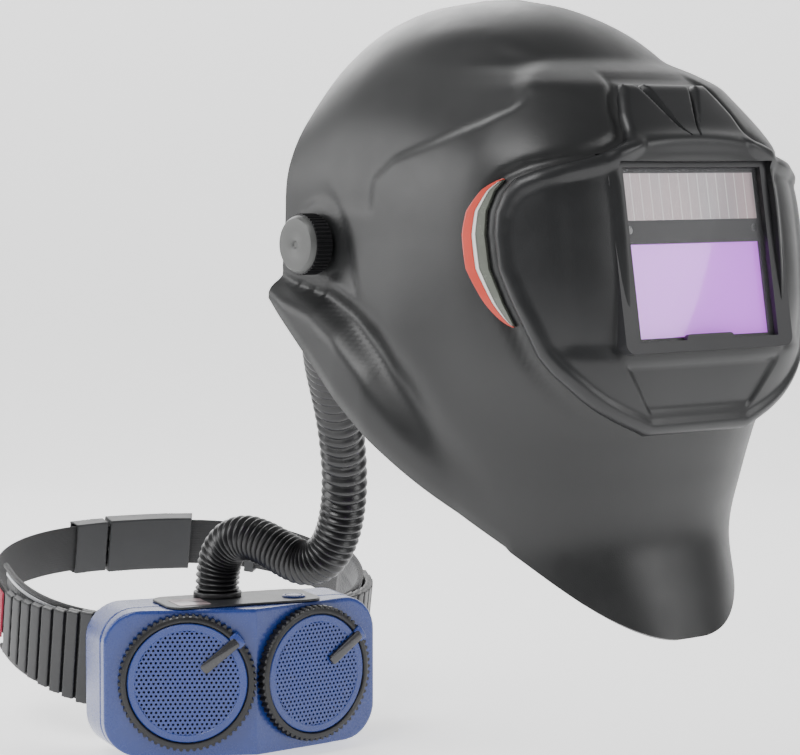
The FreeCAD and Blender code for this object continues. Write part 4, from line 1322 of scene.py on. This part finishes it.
class RESPIRATOR_OT_knobs(PieceOperator):
    """Side knobs with their ribs"""
    bl_idname = "respirator.knobs"
    bl_label = "Side knobs"

    def build(self):
        for word, side in (("right", -1), ("left", 1)):
            at = axis_matrix((side * 118.9, 0, 0), (side, 0, 0))
            profile = [(5.1, 0), (15.6, 0), (16.2, 0.8), (16.2, 10.6), (15.4, 12.6), (14.2, 13.9), (12.6, 14.1),
                       (3.0, 14.1), (2.2, 13.6), (1.8, 13.1), (0.02, 13.0), (0.02, 10.9), (5.1, 10.7)]
            knob = lathe("tilt_knob_" + word + "_turned", profile, at, 128)
            complete(knob, "tilt_knob_" + word, "knob_face", "knob_plastic", "tilt_knob_" + word)
            ribs = ring_of_ribs("tilt_knob_" + word + "_ribs", sizes().knob_ribs, 16.1, 1.7, 1.9, 10.2,
                                "knob", at @ Matrix.Translation((0, 0, 0.7)))
            complete(ribs, "tilt_knob_" + word, None, "knob_plastic")
            skirt = lathe("tilt_knob_" + word + "_skirt",
                          [(15.9, 0.3), (16.45, 0.3), (16.45, 11.1), (15.9, 11.1)], at, 128)
            complete(skirt, "tilt_knob_" + word, "knob", "knob_plastic")


class RESPIRATOR_OT_harness(PieceOperator):
    """Headband, straps, pads, pivots, ratchet, duct and face seal"""
    bl_idname = "respirator.harness"
    bl_label = "Head harness"

    def build(self):
        for node, finish in (
                ("headband", "band"), ("crown_straps", "band"), ("pivot_plates", "inner"),
                ("pivot_studs", "steel"), ("friction_washers", "steel"), ("ratchet_housing", "band"),
                ("ratchet_pinion", "inner"), ("ratchet_knob", "knob")):
            keep(node, finish)
        duct = softened("air_duct_moulding", "air_duct", 0.8, 5)
        complete(duct, "root", "duct", "duct_plastic", "air_duct")
        inner = -2.7
        sweat = padded_strip("sweatband_pad", band_point, band_place(), -57, 57, inner - 2.9, inner, 11.8, 90,
                             (0.0,), 9)
        complete(sweat, "root", "fabric", "pad_fabric", "sweatband")
        nape = padded_strip("rear_cushion", band_point, band_place(), 147, 213, inner - 5.9, inner, 11.8, 60,
                            (), 4)
        complete(nape, "root", "fabric", "pad_fabric", "rear_pad")
        line = [band_place() @ band_point(a, inner - 3.0, z) for z in (-9.6,) for a in np.linspace(-55, 55, 80)]
        complete(stitches("sweatband_stitches", line, "thread"), "root", None, "pad_fabric")
        self.seal()

    def seal(self):
        """A cloth bib that follows the inside of the lower helmet."""
        heights = np.linspace(-150, -62, 36)
        rows = rows_at(SHELL_LEVELS, heights)
        grid = []
        for z, half_width, front, rear, roundness in rows:
            x, y, _ = section(half_width, front, rear, roundness, -10, 400, 2.2)
            keep_here = y < min(-8, (z - LOWER_EDGE_Z - 3) / LOWER_EDGE_SLOPE)
            start, stop = np.argmax(keep_here), len(x) - np.argmax(keep_here[::-1]) - 1
            spread = np.linspace(start, stop, 120)
            fold = 0.5 * np.sin(spread / 11) * (1 - ease((z + 150) / 88))
            xs = np.interp(spread, range(400), x)
            ys = np.interp(spread, range(400), y) + fold
            grid.append(np.stack([xs, ys, np.full(120, z)], axis=1))
        seal = mesh_object("face_seal_cloth", np.concatenate(grid), quads(len(grid), 120))
        modifier(seal, "SOLIDIFY", thickness=0.9 * MM, offset=0)
        freeze(seal)
        smooth(seal, 60)
        complete(seal, "visor", "seal", "seal_fabric", "face_seal")


class RESPIRATOR_OT_blower(PieceOperator):
    """Blower housings, top panel, button, latch and what is inside"""
    bl_idname = "respirator.blower"
    bl_label = "Blower"

    def build(self):
        front = softened("blower_front_shell", "blower_front_housing", 1.05, 7)
        complete(front, "root", "blue", "blower_blue", "blower_front_housing")
        rear = softened("blower_rear_shell", "blower_rear_housing", 1.1, 5)
        complete(rear, "root", "blue", "blower_blue", "blower_rear_housing")
        panel = softened("blower_top_panel", "control_panel", 0.7, 4)
        complete(panel, "root", "dark", "blower_dark", "control_panel")
        cap = softened("power_button_cap", "power_button", 0.35, 3)
        edit(cap, ease_off)
        complete(cap, "power_button", "blue", "blower_blue", "power_button")
        for node, finish in (
                ("outlet_spigot", "dark"), ("battery_latch", "dark"),
                ("housing_screws", "screw"), ("fan_volute", "inner"), ("fan_motor", "motor"),
                ("impeller", "inner"), ("motor_shaft", "steel"), ("battery_pack", "battery"),
                ("control_board", "board"), ("belt_plate", "dark")):
            keep(node, finish)
        at = blower_place()
        label = slab("panel_label", rounded_outline(-50, -26, 14, 42, 2), 53.0, 53.35, at, 0.12, 2)
        flat = label.data.uv_layers.new(name="Flat")
        inverse = at.inverted()
        for loop in label.data.loops:
            local = inverse @ (label.data.vertices[loop.vertex_index].co / MM)
            flat.data[loop.index].uv = ((local.x + 50) * MM, (local.y - 14) * MM)
        complete(label, "root", "label", "blower_dark")
        rim = lathe("button_rim", [(6.4, 52.9), (8.6, 52.9), (8.6, 53.9), (7.9, 54.5), (6.9, 54.5), (6.4, 53.9)],
                    at @ Matrix.Translation((40, 24, 0)), 64)
        complete(rim, "root", "blue", "blower_blue")


class RESPIRATOR_OT_filters(PieceOperator):
    """The two round filters: ribbed rings, perforated grilles and blank badges"""
    bl_idname = "respirator.filters"
    bl_label = "Filters"

    def build(self):
        splay = math.radians(FILTER_SPLAY)
        for side, word in ((-1, "right"), (1, "left")):
            body = "filter_" + word
            inward = Vector((-side * math.sin(splay), math.cos(splay), 0))
            at = blower_place() @ axis_matrix((side * FILTER_SPACING / 2, 0, 0), inward)
            self.canister(body, word, at)
            self.grille(body, word, at)
            self.badge(body, word, at, side)
            keep("filter_media_" + word, "media")

    def canister(self, body, word, at):
        profile = [(42.9, 1.2), (43.6, 0.2), (45.4, 0), (46.9, 0.7), (47.5, 2.0), (47.5, 7.2), (46.6, 7.5),
                   (43, 7.5), (43, 21.6), (42.4, 22), (18, 22), (18, 29.5), (17.4, 30), (15, 30), (15, 20),
                   (41, 20), (41, 5.5), (42.9, 5.5)]
        ring = lathe("filter_ring_" + word, profile, at, 160)
        complete(ring, body, "black", "filter_black", "filter_canister_" + word)
        ribs = ring_of_ribs("filter_ring_ribs_" + word, sizes().ring_ribs, 47.3, 3.0, 3.6, 6.2, "black",
                            at @ Matrix.Translation((0, 0, 0.9)))
        complete(ribs, body, None, "filter_black")

    def grille(self, body, word, at):
        disc = perforated_disc("filter_grille_holes_" + word, 38.0, 1.6, "blue",
                               at @ Matrix.Translation((0, 0, 0.9)) @ Matrix.Rotation(math.pi, 4, "X"))
        complete(disc, body, None, "blower_blue", "filter_grille_" + word)
        rim = lathe("filter_grille_rim_" + word,
                    [(37.6, 0.72), (41.8, 0.72), (42.5, 1.3), (42.5, 3.2), (36.6, 3.2), (36.6, 1.6)], at, 160)
        complete(rim, body, "blue", "blower_blue")

    def badge(self, body, word, at, side):
        tilt = 40 if side < 0 else 33
        place = at @ Matrix.Rotation(math.radians(180 - tilt), 4, "Z") @ Matrix.Translation((33, 0, 0))
        plate = slab("filter_badge_" + word, rounded_outline(-19, 13, -3.8, 3.8, 2.4), -2.0, 0.9, place, 0.7)
        complete(plate, body, "badge", "filter_black")
        lug = slab("filter_lug_" + word, rounded_outline(9.5, 16.8, -5.6, 5.6, 2.4), -1.2, 5.0, place, 1.0)
        complete(lug, body, "blue", "blower_blue")


class RESPIRATOR_OT_belt(PieceOperator):
    """Padded belt with ribbed wings, reflective tape and tag"""
    bl_idname = "respirator.belt"
    bl_label = "Belt pad and wings"

    def build(self):
        at = belt_place()
        pad = padded_strip("belt_cushion", belt_point, at, -92, 92, -5.2, -0.4, 33.2, 150, (-0.45, 0.45), 16)
        complete(pad, "root", "fabric", "pad_fabric", "belt_pad")
        for word, height in (("upper", 32.8), ("lower", -32.8)):
            centres, outers, ups = along_loop(belt_point, -92, 92, 140)
            round_bar = [(-0.9 + 2.0 * math.cos(a), height + 2.0 * math.sin(a))
                         for a in np.linspace(0, 2 * math.pi, 12, endpoint=False)]
            piping = swept("belt_piping_" + word, centres, outers, ups, lambda t: round_bar, at)
            complete(piping, "root", "piping", "pad_fabric")
        for k, height in enumerate((29.8, -29.8)):
            line = [at @ belt_point(a, 0.15, height) for a in np.linspace(-90, 90, 160)]
            complete(stitches("belt_stitches_%d" % k, line, "thread"), "root", None, "pad_fabric")
        for word, side in (("right", -1), ("left", 1)):
            low, high = sorted((side * 41, side * 90))
            tape = loop_strip("reflective_tape_" + word, belt_point, at, low, high, -0.3, 0.5, 27.6, 30.4, 0.3)
            complete(tape, "root", "reflective", "pad_fabric")
        wings = softened("belt_rubber_wings", "belt_wings", 0.8, 4)
        complete(wings, "root", "wing", "wing_rubber", "belt_wings")
        tag = loop_strip("belt_end_tag", belt_point, at, -95.0, -88.5, 3.4, 4.8, -20, 16, 0.5, 12)
        complete(tag, "root", "tag", "tag_red", "belt_tag")


class RESPIRATOR_OT_webbing(PieceOperator):
    """Woven belt, buckle and slider"""
    bl_idname = "respirator.webbing"
    bl_label = "Webbing and buckle"

    def build(self):
        at = belt_place()
        first = True
        for word, start, end, inner in (("left", 48, 168, 0), ("right", 196, 312, 0), ("tail", 100, 150, 2.6)):
            web = loop_strip("webbing_" + word, belt_point, at, start, end, inner, inner + 1.8, -19, 19, 0.7, 70)
            complete(web, "root", "webbing", "webbing", *(["belt_webbing"] if first else []))
            first = False
            for edge in (-16.5, 16.5):
                line = [at @ belt_point(a, inner + 1.9, edge) for a in np.linspace(start + 1, end - 1, 120)]
                seam = stitches("webbing_seam_%s_%s" % (word, "low" if edge < 0 else "high"), line, "piping", 0.003)
                complete(seam, "root", None, "webbing")
        for name, node, voxel in (("buckle_socket_moulding", "buckle_socket", 0.7),
                                  ("buckle_tongue_moulding", "buckle_tongue", 0.7),
                                  ("strap_slider_moulding", "strap_slider", 0.6)):
            complete(softened(name, node, voxel, 4), "root", "buckle", "buckle_plastic", node)


STEPS = [
    RESPIRATOR_OT_stage, RESPIRATOR_OT_hose, RESPIRATOR_OT_helmet, RESPIRATOR_OT_window,
    RESPIRATOR_OT_knobs, RESPIRATOR_OT_harness, RESPIRATOR_OT_blower, RESPIRATOR_OT_filters,
    RESPIRATOR_OT_belt, RESPIRATOR_OT_webbing,
]


class RESPIRATOR_PT_panel(bpy.types.Panel):
    """Sidebar panel that lists the respirator's steps"""
    bl_idname = "RESPIRATOR_PT_panel"
    bl_label = "Respirator"
    bl_space_type = "VIEW_3D"
    bl_region_type = "UI"
    bl_category = "Respirator"

    def draw(self, context):
        for group in (context.scene.respirator_sizes, context.scene.respirator_colours):
            box = self.layout.box()
            for key in group.bl_rna.properties.keys():
                if key not in ("rna_type", "name"):
                    box.prop(group, key)
        for step in STEPS:
            self.layout.operator(step.bl_idname)


CLASSES = [RespiratorColours, RespiratorSizes, *STEPS, RESPIRATOR_PT_panel]


def register():
    for each in CLASSES:
        bpy.utils.register_class(each)
    bpy.types.Scene.respirator_colours = bpy.props.PointerProperty(type=RespiratorColours)
    bpy.types.Scene.respirator_sizes = bpy.props.PointerProperty(type=RespiratorSizes)


def unregister():
    del bpy.types.Scene.respirator_sizes
    del bpy.types.Scene.respirator_colours
    for each in reversed(CLASSES):
        bpy.utils.unregister_class(each)


def main():
    register()
    make_finishes()
    for step in STEPS:
        group, name = step.bl_idname.split(".")
        getattr(getattr(bpy.ops, group), name)()


if __name__ == "__main__":
    main()
